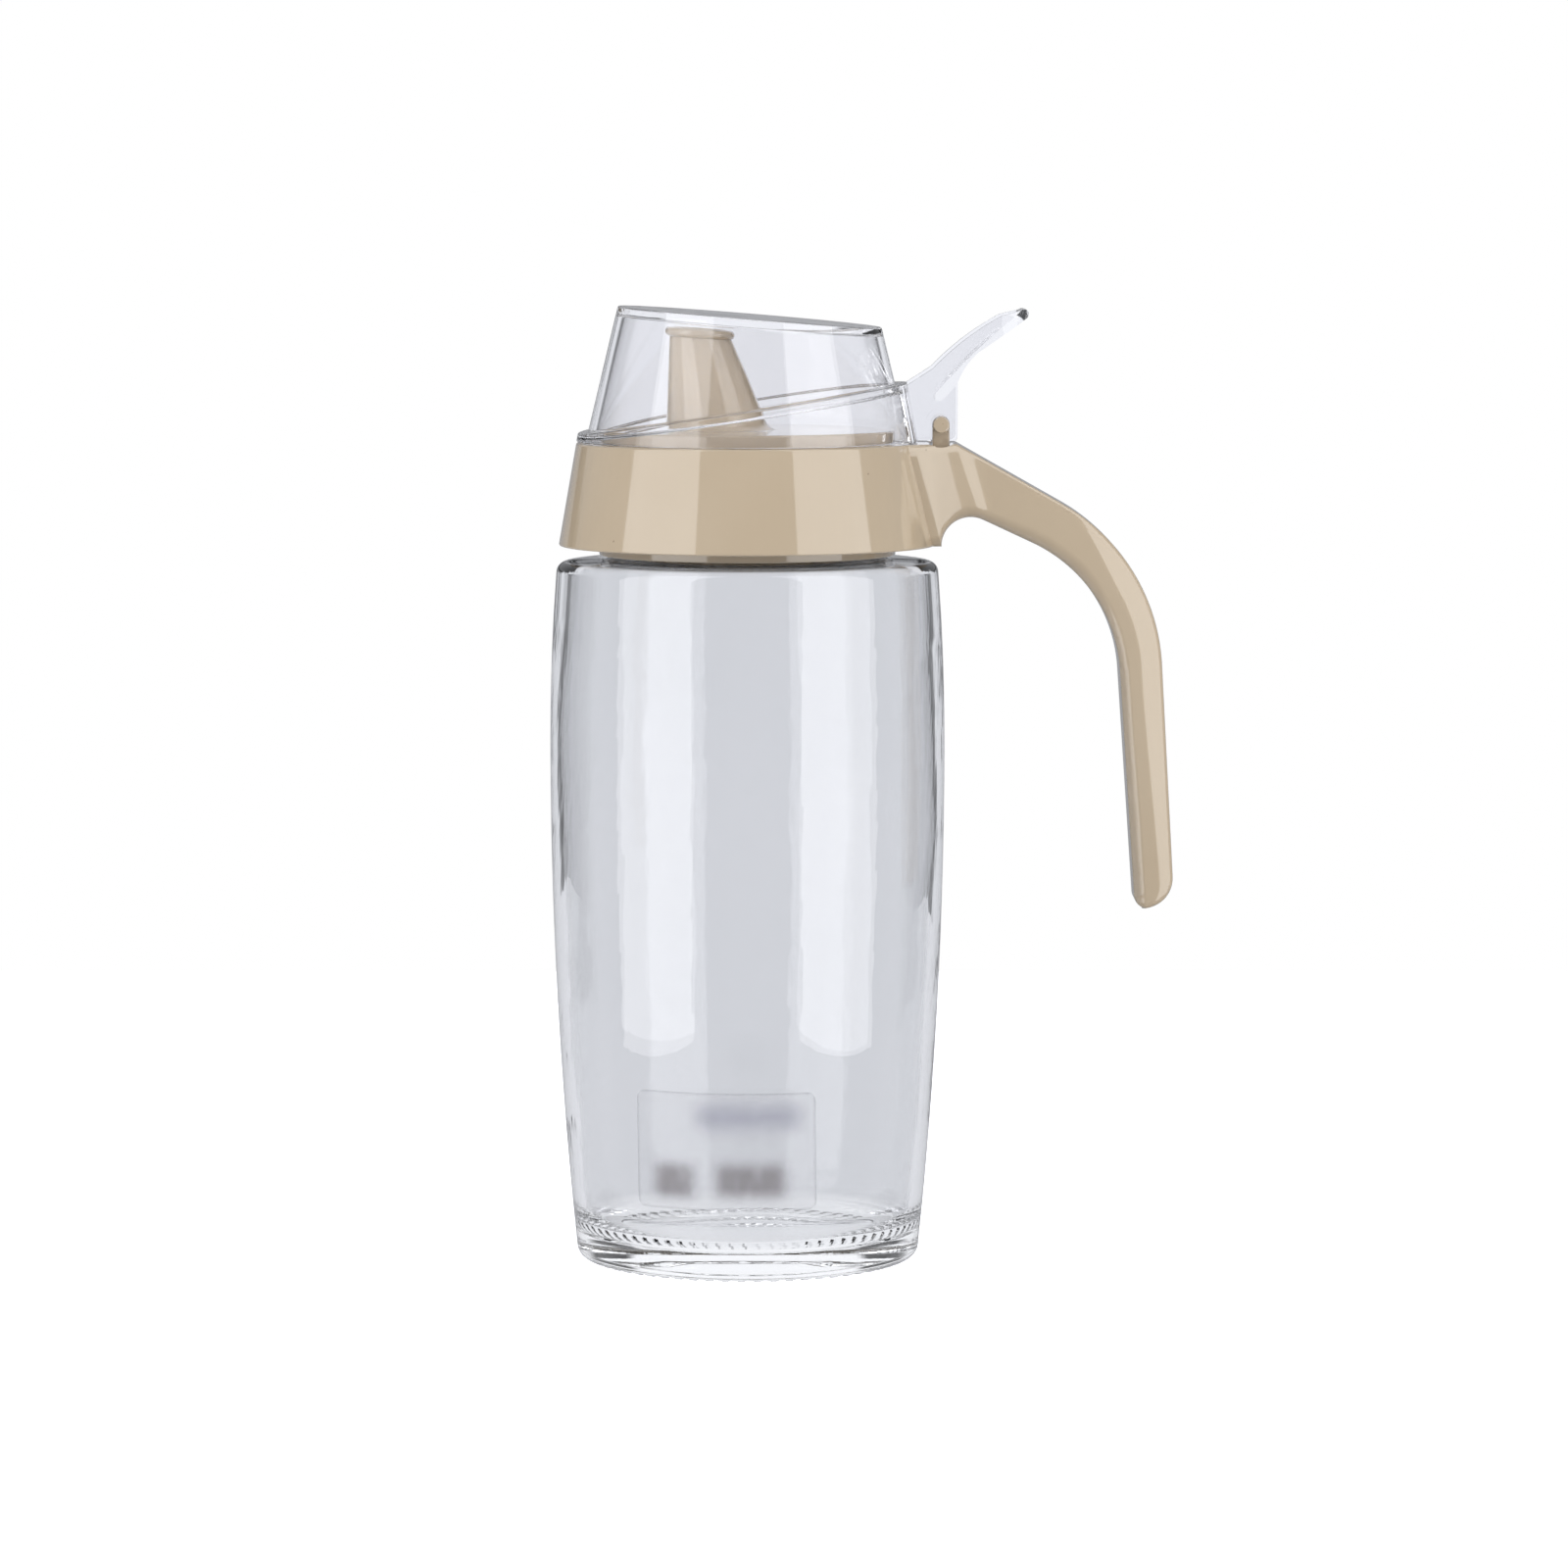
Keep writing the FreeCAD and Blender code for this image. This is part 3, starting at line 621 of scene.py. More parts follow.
def knurl_rule(sketch: Sketch, sizes: dict[str, Socket]) -> Socket:
    """Lift the bearing ring between its ridges, which run slanted round the base.

    Args:
        sketch: the tree's sketch.
        sizes: Ridges, Depth, Ring Inside, Ring Outside, Slant and Reach.

    Returns:
        The offset's socket.
    """
    ridge_foot, ridge_crest = -0.35, 0.75
    x, y, z, radius = surface_place(sketch)
    turn = sketch.math("MULTIPLY", sketch.math("ARCTAN2", y, x), sizes["Ridges"])
    turn = sketch.math("ADD", turn, sketch.math("MULTIPLY", radius, sizes["Slant"]))
    groove = sketch.ease(sketch.math("COSINE", turn), ridge_foot, ridge_crest)
    margin = sketch.math("MULTIPLY", sizes["Depth"], 2.0)
    inside = sketch.ease(radius, sizes["Ring Inside"], sketch.math("ADD", sizes["Ring Inside"], margin))
    outside = sketch.ease(radius, sizes["Ring Outside"],
                          sketch.math("SUBTRACT", sizes["Ring Outside"], margin))
    low = sketch.ease(z, sizes["Reach"], 0.0)
    share = sketch.product(sketch.product(groove, low), sketch.product(inside, outside))
    return sketch.vector(0.0, 0.0, sketch.product(share, sizes["Depth"]))


def ripple_rule(sketch: Sketch, sizes: dict[str, Socket]) -> Socket:
    """Make the inner wall uneven, as glass is where it was blown and not moulded.

    Args:
        sketch: the tree's sketch.
        sizes: Height of the ripples, Scale, Stretch along Z and Seed.

    Returns:
        The offset's socket.
    """
    least_radius = 1e-4
    x, y, z, radius = surface_place(sketch)
    noise = sketch.node("ShaderNodeTexNoise", noise_dimensions="4D")
    sketch.feed(noise.inputs["Vector"], sketch.vector(x, y, sketch.product(z, sizes["Stretch"])))
    sketch.feed(noise.inputs["W"], sizes["Seed"])
    sketch.feed(noise.inputs["Scale"], sizes["Scale"])
    noise.inputs["Detail"].default_value = 1.0
    swing = sketch.math("SUBTRACT", noise.outputs[0], 0.5)
    inner = sketch.node("GeometryNodeInputNamedAttribute", data_type="FLOAT")
    inner.inputs["Name"].default_value = INNER_WALL
    height = sketch.product(swing, inner.outputs[0], sizes["Height"])
    share = sketch.math("DIVIDE", height, sketch.math("MAXIMUM", radius, least_radius))
    return sketch.vector(sketch.product(x, share), sketch.product(y, share), 0.0)


# ---------------------------------------------------------------------------------------------
# Finishes


def new_material(name: str) -> tuple[bpy.types.Material, Sketch, bpy.types.Node]:
    """Start a material.

    Args:
        name: the material's name.

    Returns:
        The material, a sketch on its tree, and its Principled shader.
    """
    material = bpy.data.materials.new(name)
    material.use_nodes = True
    return material, Sketch(material.node_tree), material.node_tree.nodes["Principled BSDF"]


def bump(sketch: Sketch, shader: bpy.types.Node, height: Socket, depth: float, strength: float) -> None:
    """Give a shader a relief.

    Args:
        sketch: the material's sketch.
        shader: the shader.
        height: the relief's height, from 0 to 1.
        depth: how deep it is, in metres.
        strength: how much of it shows.
    """
    relief = sketch.node("ShaderNodeBump")
    relief.inputs["Strength"].default_value = strength
    relief.inputs["Distance"].default_value = depth
    sketch.feed(relief.inputs["Height"], height)
    sketch.feed(shader.inputs["Normal"], relief.outputs[0])


@dataclass(frozen=True)
class ClearFinish:
    """Clear glass or clear moulded plastic. Heights and depths in metres."""

    name: str
    tint: Colour
    shade: Colour
    ripple_scale: float
    ripple_depth: float
    ripple_stretch: tuple[float, float, float] = (1, 1, 0.4)
    drift_share: float = 3.0         # how much larger the drift of the tint is than the ripples
    drift: Pair = (0.35, 0.65)
    ior: float = 1.5
    roughness: float = 0.0
    foot_height: float = 0.0         # below it the glass is painted paler, painted light for the bright floor seen through the base, unless it is 0
    foot_fade: float = 0.8
    # the colour that the foot is painted towards: painted light, not a tint of the glass
    painted_light_foot_colour: Colour = (0.97, 0.97, 0.965, 1)

    def material(self) -> bpy.types.Material:
        """Make the material: a faint change of tint, a paler foot that is painted light, and faint ripples in
        the surface.

        Returns:
            The material.
        """
        material, sketch, shader = new_material(self.name)
        shader.inputs["Transmission Weight"].default_value = 1.0
        shader.inputs["IOR"].default_value = self.ior
        shader.inputs["Roughness"].default_value = self.roughness
        drift = sketch.cloud(self.ripple_scale / self.drift_share, 2.0)
        tint = sketch.blend(sketch.ease(drift, *self.drift), self.tint, self.shade)
        # The paler foot is painted light: it brightens the base where the lit floor shows through.
        if self.foot_height:
            height = sketch.split(sketch.node("ShaderNodeTexCoord").outputs["Object"])[2]
            foot = sketch.ease(height, self.foot_height, self.foot_fade * self.foot_height)
            tint = sketch.blend(foot, tint, self.painted_light_foot_colour)
        sketch.feed(shader.inputs["Base Color"], tint)
        ripples = sketch.cloud(self.ripple_scale, 2.0, self.ripple_stretch)
        bump(sketch, shader, ripples, self.ripple_depth, 1.0)
        return material


@dataclass(frozen=True)
class MouldedFinish:
    """Glossy opaque moulded plastic. Scales per metre, depth in metres."""

    name: str
    colour: Colour
    shade: Colour
    speck: Colour
    roughness: float
    roughness_spread: float
    gloss: float
    gloss_roughness: float = 0.03
    ior: float = 1.5
    drift_scale: float = 45.0
    drift: Pair = (0.35, 0.7)
    speck_scale: float = 900.0
    speck_rise: Pair = (0.81, 0.84)
    polish_scale: float = 120.0
    peel_scale: float = 260.0
    peel_depth: float = 0.00002
    peel_strength: float = 0.5

    def material(self) -> bpy.types.Material:
        """Make the material: soft colour drift, rare specks, orange peel and uneven polish.

        Returns:
            The material.
        """
        material, sketch, shader = new_material(self.name)
        drift = sketch.ease(sketch.cloud(self.drift_scale, 3.0), *self.drift)
        base = sketch.blend(drift, self.colour, self.shade)
        grain = sketch.ease(sketch.cloud(self.speck_scale, 1.0), *self.speck_rise)
        sketch.feed(shader.inputs["Base Color"], sketch.blend(grain, base, self.speck))
        polish = sketch.cloud(self.polish_scale, 4.0)
        sketch.feed(shader.inputs["Roughness"],
                    sketch.math("MULTIPLY_ADD", polish, self.roughness_spread, self.roughness))
        shader.inputs["IOR"].default_value = self.ior
        shader.inputs["Coat Weight"].default_value = self.gloss
        shader.inputs["Coat Roughness"].default_value = self.gloss_roughness
        bump(sketch, shader, sketch.cloud(self.peel_scale, 2.0), self.peel_depth, self.peel_strength)
        return material


@dataclass(frozen=True)
class FilmField:
    """A soft-edged rectangle on the film, in shares of its width and height."""

    low: Pair
    high: Pair
    soft: float
    soft_rise: float = 1.4           # how much wider its edges fade up the film than across it

    def cover(self, sketch: Sketch, u: Socket, v: Socket) -> Socket:
        """How far each place lies in the field.

        Args:
            sketch: the material's sketch.
            u: the place across the film.
            v: the place up the film.

        Returns:
            The socket of the field's cover, 0 to 1.
        """
        covers = []
        softness = (self.soft, self.soft_rise * self.soft)
        for place, low, high, soft in zip((u, v), self.low, self.high, softness):
            covers.append(sketch.band(place, (low - soft, low + soft), (high + soft, high - soft)))
        return sketch.product(*covers)


@dataclass(frozen=True)
class Tone:
    """A colour on the film, and how much more of what is behind it is covered there."""

    colour: Colour
    cover: float


@dataclass(frozen=True)
class FilmFinish:
    """Thin translucent film with soft fields of colour and no print."""

    name: str
    film: Tone
    rim: Tone
    band: Tone
    block: Tone
    band_field: FilmField = FilmField((0.34, 0.68), (0.93, 0.91), 0.09)
    block_fields: tuple[FilmField, FilmField] = (
        FilmField((0.10, 0.10), (0.33, 0.39), 0.065),
        FilmField((0.45, 0.11), (0.84, 0.40), 0.07),
    )
    heart: FilmField = FilmField((0.012, 0.018), (0.988, 0.982), 0.008)
    mottle_scale: float = 420.0
    mottle_stretch: tuple[float, float, float] = (1, 1, 0.3)
    mottle: Pair = (-0.5, 0.6)
    smear_scale: float = 260.0
    smear_stretch: tuple[float, float, float] = (0.4, 1, 1)
    smear: Pair = (-0.3, 0.6)
    roughness: float = 0.35

    def material(self) -> bpy.types.Material:
        """Make the material from the film's own map: a rim, a band at the top and two blocks below.

        Returns:
            The material.
        """
        material, sketch, shader = new_material(self.name)
        u, v, _ = sketch.split(sketch.node("ShaderNodeUVMap", uv_map=FILM_MAP).outputs[0])
        band = self.band_field.cover(sketch, u, v)
        blocks = sketch.math("MAXIMUM", *(block.cover(sketch, u, v) for block in self.block_fields))
        mottle = sketch.cloud(self.mottle_scale, 2.0, self.mottle_stretch)
        blocks = sketch.product(blocks, sketch.ease(mottle, *self.mottle))
        smear = sketch.cloud(self.smear_scale, 2.0, self.smear_stretch)
        band = sketch.product(band, sketch.ease(smear, *self.smear))
        rim = sketch.math("SUBTRACT", 1.0, self.heart.cover(sketch, u, v))
        colour, cover = self.film.colour, self.film.cover
        for share, tone in ((band, self.band), (blocks, self.block), (rim, self.rim)):
            colour = sketch.blend(share, colour, tone.colour)
            cover = sketch.math("MULTIPLY_ADD", share, tone.cover, cover)
        sketch.feed(shader.inputs["Base Color"], colour)
        sketch.feed(shader.inputs["Alpha"], sketch.math("MINIMUM", cover, 1.0))
        shader.inputs["Roughness"].default_value = self.roughness
        return material


GLASS = ClearFinish("clear glass", (0.81, 0.813, 0.823, 1), (0.795, 0.80, 0.81, 1),
                    ripple_scale=45.0, ripple_depth=0.00006, foot_height=0.008)
CLEAR_PLASTIC = ClearFinish("clear plastic", (0.90, 0.90, 0.912, 1), (0.885, 0.885, 0.90, 1),
                            ripple_scale=60.0, ripple_depth=0.00002)
BEIGE_PLASTIC = MouldedFinish("beige plastic", (0.552, 0.445, 0.314, 1), (0.535, 0.428, 0.298, 1),
                              speck=(0.30, 0.23, 0.16, 1), roughness=0.05, roughness_spread=0.10, gloss=0.8)
FILM = FilmFinish("label film", film=Tone((0.62, 0.62, 0.66, 1), 0.08), rim=Tone((0.40, 0.40, 0.43, 1), 0.09),
                  band=Tone((0.36, 0.36, 0.46, 1), 0.27), block=Tone((0.26, 0.23, 0.24, 1), 0.42))


# ---------------------------------------------------------------------------------------------
# The pieces


@dataclass
class Bottle:
    """The glass barrel, blown uneven inside, with a knurled ring to stand on. Millimetres."""

    belly_height: float = 104.5
    foot_radius: float = 34.8
    shoulder_radius: float = 38.7
    shoulder_height: float = 142.6
    shoulder_rise: float = 0.4
    shoulder_round: float = 2.2
    heel_round: float = 5.2
    outer_span: Pair = (12.0, 132.0)     # the stretch of the outside that is free of rounds
    inner_span: Pair = (26.0, 128.0)
    wall: float = 2.6
    floor: float = 5.2
    floor_crown: float = 0.6
    floor_curve: tuple[Pair, ...] = ((0.7, 0.35), (0.35, 0.8), (0.0, 1.0))   # shares of ring and crown
    inner_heel_round: float = 9.0
    inner_shoulder_round: float = 1.6
    shoulder_wall: float = 0.6
    ring_inside: float = 27.2
    ring_round: float = 0.7
    ring_step: float = 0.45              # between the points of the ring that the knurl lifts
    ring_steps: int = 8
    punt: float = 2.3
    punt_power: float = 2.4
    punt_shares: tuple[float, ...] = (0.0, 0.25, 0.5, 0.7, 0.85, 0.95)
    neck_radius: float = 28.0
    neck_bore: float = 24.9
    neck_root_round: float = 1.6
    lip_round: float = 0.8
    segments: int = 384
    wall_steps: int = 38
    round_steps: int = 7
    ridges: int = 64
    ridge_depth: float = 0.45
    ridge_slant: float = 0.35
    ridge_margin: float = 0.8            # from the ridges' outer end to the foot's edge
    ridge_reach: float = 3.6             # how high up the ridges fade out
    ripple_height: float = 1.9
    ripple_scale: float = 19.0
    ripple_stretch: float = 1.1
    ripple_seed: float = 2.0
    ripple_rise: float = 12.0            # the ripples grow over this height above the floor
    ripple_fall: float = 8.0             # and die out over this height below the shoulder
    crease: float = 50.0
    low: Vector = field(default_factory=lambda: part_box("bottle")[0] / MM)
    high: Vector = field(default_factory=lambda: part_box("bottle")[1] / MM)

    def wall_radius(self, height: float, inwards: float = 0.0) -> float:
        """Radius of the barrel's wall, which is an arc below its widest place and another above.

        Args:
            height: the height.
            inwards: how far inside the outer surface.

        Returns:
            The radius.
        """
        below = height < self.belly_height
        edge = (self.foot_radius, self.low.z) if below else (self.shoulder_radius, self.shoulder_height)
        inset = self.high.y - edge[0]
        reach = edge[1] - self.belly_height
        bend = (inset * inset + reach * reach) / (2 * inset)
        fall = height - self.belly_height
        return self.high.y - bend + math.sqrt((bend - inwards) ** 2 - fall * fall)

    def wall_corners(self, span: Pair, inwards: float) -> list[Corner]:
        """Evenly spaced points of the wall along a span of heights."""
        heights = [span[0] + (span[1] - span[0]) * step / self.wall_steps
                   for step in range(self.wall_steps + 1)]
        return [Corner(self.wall_radius(height, inwards), height) for height in heights]

    def profile(self) -> list[Pair]:
        """Outline of the glass from under the base over the lip to the inner floor.

        Returns:
            The (radius, height) points.
        """
        neck_root = self.shoulder_height + self.shoulder_rise
        outside = [Corner(self.ring_inside * share, self.punt * (1 - share ** self.punt_power))
                   for share in self.punt_shares]
        outside += [Corner(self.ring_inside, 0.0, self.ring_round)]
        outside += [Corner(self.ring_inside + step * self.ring_step, 0.0)
                    for step in range(2, self.ring_steps)]
        outside += [Corner(self.foot_radius, 0.0, self.heel_round)]
        outside += self.wall_corners(self.outer_span, 0.0)
        outside += [
            Corner(self.shoulder_radius, self.shoulder_height, self.shoulder_round),
            Corner(self.neck_radius, neck_root, self.neck_root_round),
            Corner(self.neck_radius, self.high.z, self.lip_round),
        ]
        ceiling = self.shoulder_height - self.shoulder_wall
        inside = [
            Corner(self.neck_bore, self.high.z, self.lip_round),
            Corner(self.neck_bore, ceiling + self.shoulder_rise, self.neck_root_round + self.shoulder_wall),
            Corner(self.wall_radius(ceiling, self.wall), ceiling, self.inner_shoulder_round),
        ]
        inside += self.wall_corners(self.inner_span, self.wall)[::-1]
        inside += [Corner(self.wall_radius(self.floor, self.wall), self.floor, self.inner_heel_round)]
        inside += [Corner(self.ring_inside * share, self.floor + self.floor_crown * rise)
                   for share, rise in self.floor_curve]
        return rounded(outside + inside, self.round_steps)

    def mark_inner_wall(self, piece: Piece) -> None:
        """Store how freely each point of the inside may ripple: 1 on the wall, 0 at the neck.

        Args:
            piece: the glass.
        """
        rim = self.shoulder_height - self.wall
        over_rim, under_floor, inner_depth = 1.5, 0.5, 0.6 * self.wall
        marks = []
        for vertex in piece.data.vertices:
            x, y, z = vertex.co / MM
            depth = self.wall_radius(min(max(z, 0.0), rim)) - math.hypot(x, y)
            growing = smooth_step(z, self.floor, self.floor + self.ripple_rise)
            dying = smooth_step(rim + over_rim, z, z + self.ripple_fall)
            inside = depth > inner_depth and z > self.floor - under_floor
            marks.append(growing * dying if inside else 0.0)
        attribute = piece.data.attributes.new(INNER_WALL, "FLOAT", "POINT")
        attribute.data.foreach_set("value", marks)

    def build(self) -> Piece:
        """Make the glass.

        Returns:
            The piece.
        """
        points = self.profile()
        piece = turned(lambda angle: points, self.segments, closed=False).piece("glass_bottle")
        self.mark_inner_wall(piece)
        material = GLASS.material()
        ripples = SurfaceTree("blown inner wall", {
            "Height": self.ripple_height * MM, "Scale": self.ripple_scale,
            "Stretch": self.ripple_stretch, "Seed": self.ripple_seed}, ripple_rule)
        ripples.apply(piece, material)
        knurl = SurfaceTree("knurled ring", {
            "Ridges": float(self.ridges), "Depth": self.ridge_depth * MM,
            "Ring Inside": self.ring_inside * MM, "Ring Outside": (self.foot_radius - self.ridge_margin) * MM,
            "Slant": self.ridge_slant / MM, "Reach": self.ridge_reach * MM}, knurl_rule)
        knurl.apply(piece, material)
        dress(piece, material, self.crease)
        hand_over(piece, Body.VESSEL, "bottle")
        return piece


@dataclass
class PouringInsert:
    """The deck on the collar with the oblique spout and the plug in the neck. Millimetres."""

    deck_radius: float = 30.0
    deck_thickness: float = 2.5
    deck_round: float = 0.5
    deck_rim: float = 4.0
    under_round: float = 0.2
    plug_radius: float = 24.6
    plug_wall: float = 1.6
    plug_depth: float = 14.0
    plug_round: float = 0.4
    base_x: float = -6.0
    base_radius: float = 10.5
    tip_x: float = -9.6
    tip_radius: float = 6.15
    height: float = 19.5
    tip_tilt: float = 4.2
    wall: float = 1.2
    bead: float = 0.95
    bead_start: float = -80.0            # degrees of the bead's section that show
    bead_turn: float = 230.0
    foot_flare: float = 1.8
    cone_start: float = 0.1              # the share of the height where the cone leaves its foot
    bore_top: float = 0.99
    segments: int = 160
    flare_steps: int = 8
    cone_steps: int = 12
    bead_steps: int = 16
    crease: float = 40.0
    low: float = field(default_factory=lambda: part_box("spout")[0].z / MM)

    @property
    def seat(self) -> float:
        """Height of the deck's underside, which lies on the collar's top."""
        return self.low + self.plug_depth

    def circle(self, radius: float, height: float, x: float = 0.0, tilt: float = 0.0) -> list[Point]:
        """A ring of points, level or tilted so that its -X side is higher.

        Args:
            radius: its radius.
            height: the height of its middle.
            x: its middle's place along X.
            tilt: its tilt in degrees.

        Returns:
            The points.
        """
        slope = math.tan(math.radians(tilt))
        ring = []
        for step in range(self.segments):
            angle = 2 * math.pi * step / self.segments
            ring.append((x + radius * math.cos(angle), radius * math.sin(angle),
                         height - slope * radius * math.cos(angle)))
        return ring

    def horn(self, share: float, inwards: float = 0.0) -> tuple[float, float, float]:
        """The spout's cone at a share of its height.

        Args:
            share: the share of the height.
            inwards: how far inside the outer surface.

        Returns:
            Its centre's x, its radius and the height above the deck.
        """
        x = self.base_x + (self.tip_x - self.base_x) * share
        radius = self.base_radius + (self.tip_radius - self.base_radius) * share - inwards
        return x, radius, self.height * share

    def cone_rings(self, deck: float, shares: Sequence[float], inwards: float) -> list[list[Point]]:
        """Rings of the cone, which tilt more and more in its upper half.

        Args:
            deck: the deck's height.
            shares: the shares of the cone's height.
            inwards: how far inside the outer surface.

        Returns:
            The rings.
        """
        rings = []
        for share in shares:
            x, radius, rise = self.horn(share, inwards)
            rings.append(self.circle(radius, deck + rise, x, self.tip_tilt * smooth_step(share, 0.5, 1.0)))
        return rings

    def build(self) -> Piece:
        """Make the insert from rings that run from the plug over the deck and spout to the bore.

        Returns:
            The piece.
        """
        deck = self.seat + self.deck_thickness
        plug_inner = self.plug_radius - self.plug_wall
        flat = self.deck_radius - self.deck_rim
        outer = rounded([
            Corner(plug_inner, self.seat), Corner(plug_inner, self.low, self.plug_round),
            Corner(self.plug_radius, self.low, self.plug_round), Corner(self.plug_radius, self.seat),
            Corner(self.deck_radius, self.seat, self.under_round),
            Corner(self.deck_radius, deck, self.deck_round), Corner(flat, deck),
        ], steps=4)
        rings = [self.circle(radius, height) for radius, height in outer]
        foot_radius = self.base_radius + self.foot_flare
        for share in (0.5, 1.0):
            rings.append(self.circle(flat * (1 - share) + foot_radius * share, deck, self.base_x * share))
        for step in range(1, self.flare_steps + 1):
            turn = math.pi / 2 * step / self.flare_steps
            x, radius, rise = self.horn(self.foot_flare * (1 - math.cos(turn)) / self.height)
            rings.append(self.circle(radius + self.foot_flare * (1 - math.sin(turn)), deck + rise, x))
        run = 1 - self.bead / self.height - self.cone_start
        steps = range(self.cone_steps + 1)
        up = [self.cone_start + run * step / self.cone_steps for step in steps]
        rings += self.cone_rings(deck, up[1:], 0.0)
        for step in range(self.bead_steps + 1):
            turn = math.radians(self.bead_start + self.bead_turn * step / self.bead_steps)
            radius = self.tip_radius + self.bead * math.cos(turn)
            height = deck + self.height + self.bead * math.sin(turn)
            rings.append(self.circle(radius, height, self.tip_x, self.tip_tilt))
        down = [self.bore_top * (1 - step / self.cone_steps) for step in steps]
        rings += self.cone_rings(deck, down, self.wall)
        rings.append(self.circle(self.base_radius - self.wall, self.seat, self.base_x))
        piece = lofted(rings, looped=True).piece("pouring_insert")
        dress(piece, BEIGE_PLASTIC.material(), self.crease)
        hand_over(piece, Body.VESSEL, "spout")
        return piece


@dataclass
class Collar:
    """The beige collar with its handle, hinge lug and stub pins, one moulding. Millimetres."""

    insert: PouringInsert
    flare: float = 3.65
    top_radius: float = 34.7
    height: float = 20.85
    wall: float = 2.0
    top_thickness: float = 2.2
    throat: float = 25.2
    ring_bore: float = 28.3
    ring_wall: float = 1.8
    ring_drop: float = 1.9               # how far the inner ring reaches below the outer wall
    ring_round: float = 0.2
    edge_round: float = 0.35
    top_round: float = 0.5
    under_round: float = 0.6
    segments: int = 256
    back_step: float = 7.6
    back_slope: float = 29.5
    back_reach: float = 82.95
    back_bend: float = 40.0
    back_lean: float = 3.2
    grip_slope: float = 25.0
    grip_corner_x: float = 74.4
    grip_corner_drop: float = 27.9
    grip_bend: float = 31.0
    grip_lean: float = 3.9
    root_arch: float = 5.9
    root_depth: float = 4.2
    root_step: float = 1.0
    root_inset: float = 0.02             # the root stays this far within the collar's top and bottom
    length: float = 94.6
    tip_outer_round: float = 6.2
    tip_inner_round: float = 2.6
    root_steps: int = 3
    arch_steps: int = 16
    slope_steps: int = 14
    bend_steps: int = 30
    grip_steps: int = 20
    tip_steps: int = 12
    root_top_half_width: float = 13.0
    root_low_half_width: float = 8.7
    grip_half_width: float = 7.8
    crease_x: float = 32.2
    waist_x: float = 47.0
    flare_bend: float = 1.7
    flare_lead: float = 4.0              # the grip side is as wide as the back this far nearer the root
    ridge_start_x: float = 66.0
    ridge_run: float = 14.0
    ridge_drop: float = 45.0             # below the top, where the ridge starts to move on to its end
    ridge_at_root: float = 0.12          # where the side's ridge lies, as a share of the handle's depth
    ridge_gain: float = 0.38
    ridge_at_tip: float = 0.30
    ridge_fall: float = 0.9              # how much narrower the back is than the ridge
    ridge_round: float = 4.0
    grip_fall: float = 0.6               # the grip side's part of that
    back_round: float = 1.3
    grip_round: float = 3.0
    end_round: float = 1.6
    pin_radius: float = 1.6
    pin_end: float = 9.5
    pin_edge: float = 0.25
    lug_half: float = 7.2
    lug_round: float = 1.75
    lug_edge: float = 0.3
    land_radius: float = 4.6
    land_half_width: float = 9.8
    crease: float = 28.0

    @property
    def top(self) -> float:
        """Height of the collar's top, on which the insert's deck lies."""
        return self.insert.seat

    @property
    def bottom(self) -> float:
        """Height of the collar's lower edge."""
        return self.top - self.height

    def ring(self) -> Form:
        """The turned part: outer wall, top, neck ring and throat.

        Returns:
            The form.
        """
        under = self.top - self.top_thickness
        low_radius = self.top_radius + self.flare
        taper = self.flare / self.height
        ring_outer = self.ring_bore + self.ring_wall
        ring_foot = self.bottom - self.ring_drop
        corners = [
            Corner(low_radius, self.bottom, self.edge_round),
            Corner(self.top_radius, self.top, self.top_round),
            Corner(self.throat, self.top),
            Corner(self.throat, under),
            Corner(self.ring_bore, under),
            Corner(self.ring_bore, ring_foot, self.ring_round),
            Corner(ring_outer, ring_foot, self.ring_round),
            Corner(ring_outer, under, self.under_round),
            Corner(low_radius - self.wall - taper * (under - self.bottom), under, self.under_round),
            Corner(low_radius - self.wall, self.bottom, self.edge_round),
        ]
        points = rounded(corners, steps=4, closed=True)
        return turned(lambda angle: points, self.segments, closed=True)

    def side_lines(self) -> tuple[list[Pair], list[Pair]]:
        """Side view of the handle.

        Returns:
            Equally many points down its back and down its grip side, root to tip.
        """
        tip = self.top - self.length
        root_x = self.top_radius - self.root_depth
        shoulder = (self.top_radius + self.back_step, self.top - self.root_inset)
        drop = (self.back_reach - shoulder[0]) * math.tan(math.radians(self.back_slope))
        back_corner = (self.back_reach, self.top - drop)
        back_end = (self.back_reach + (back_corner[1] - tip) * math.tan(math.radians(self.back_lean)), tip)
        grip_corner = (self.grip_corner_x, self.top - self.grip_corner_drop)
        grip_end = (grip_corner[0] + (grip_corner[1] - tip) * math.tan(math.radians(self.grip_lean)), tip)
        arch_x = self.top_radius + self.flare + self.root_step
        rise = (grip_corner[0] - arch_x) * math.tan(math.radians(self.grip_slope))
        arch_corner = (arch_x, grip_corner[1] + rise)
        foot = (arch_x, self.bottom + self.root_inset)

        back_bend = bend_points(shoulder, back_corner, back_end, self.back_bend, self.bend_steps)
        back_tip = bend_points(back_corner, back_end, grip_end, self.tip_outer_round, self.tip_steps)
        arch = bend_points(foot, arch_corner, grip_corner, self.root_arch, self.arch_steps)
        grip_bend = bend_points(arch_corner, grip_corner, grip_end, self.grip_bend, self.bend_steps)
        grip_tip = bend_points(grip_corner, grip_end, back_end, self.tip_inner_round, self.tip_steps)
        middle = ((back_tip[-1][0] + grip_tip[-1][0]) / 2, tip)

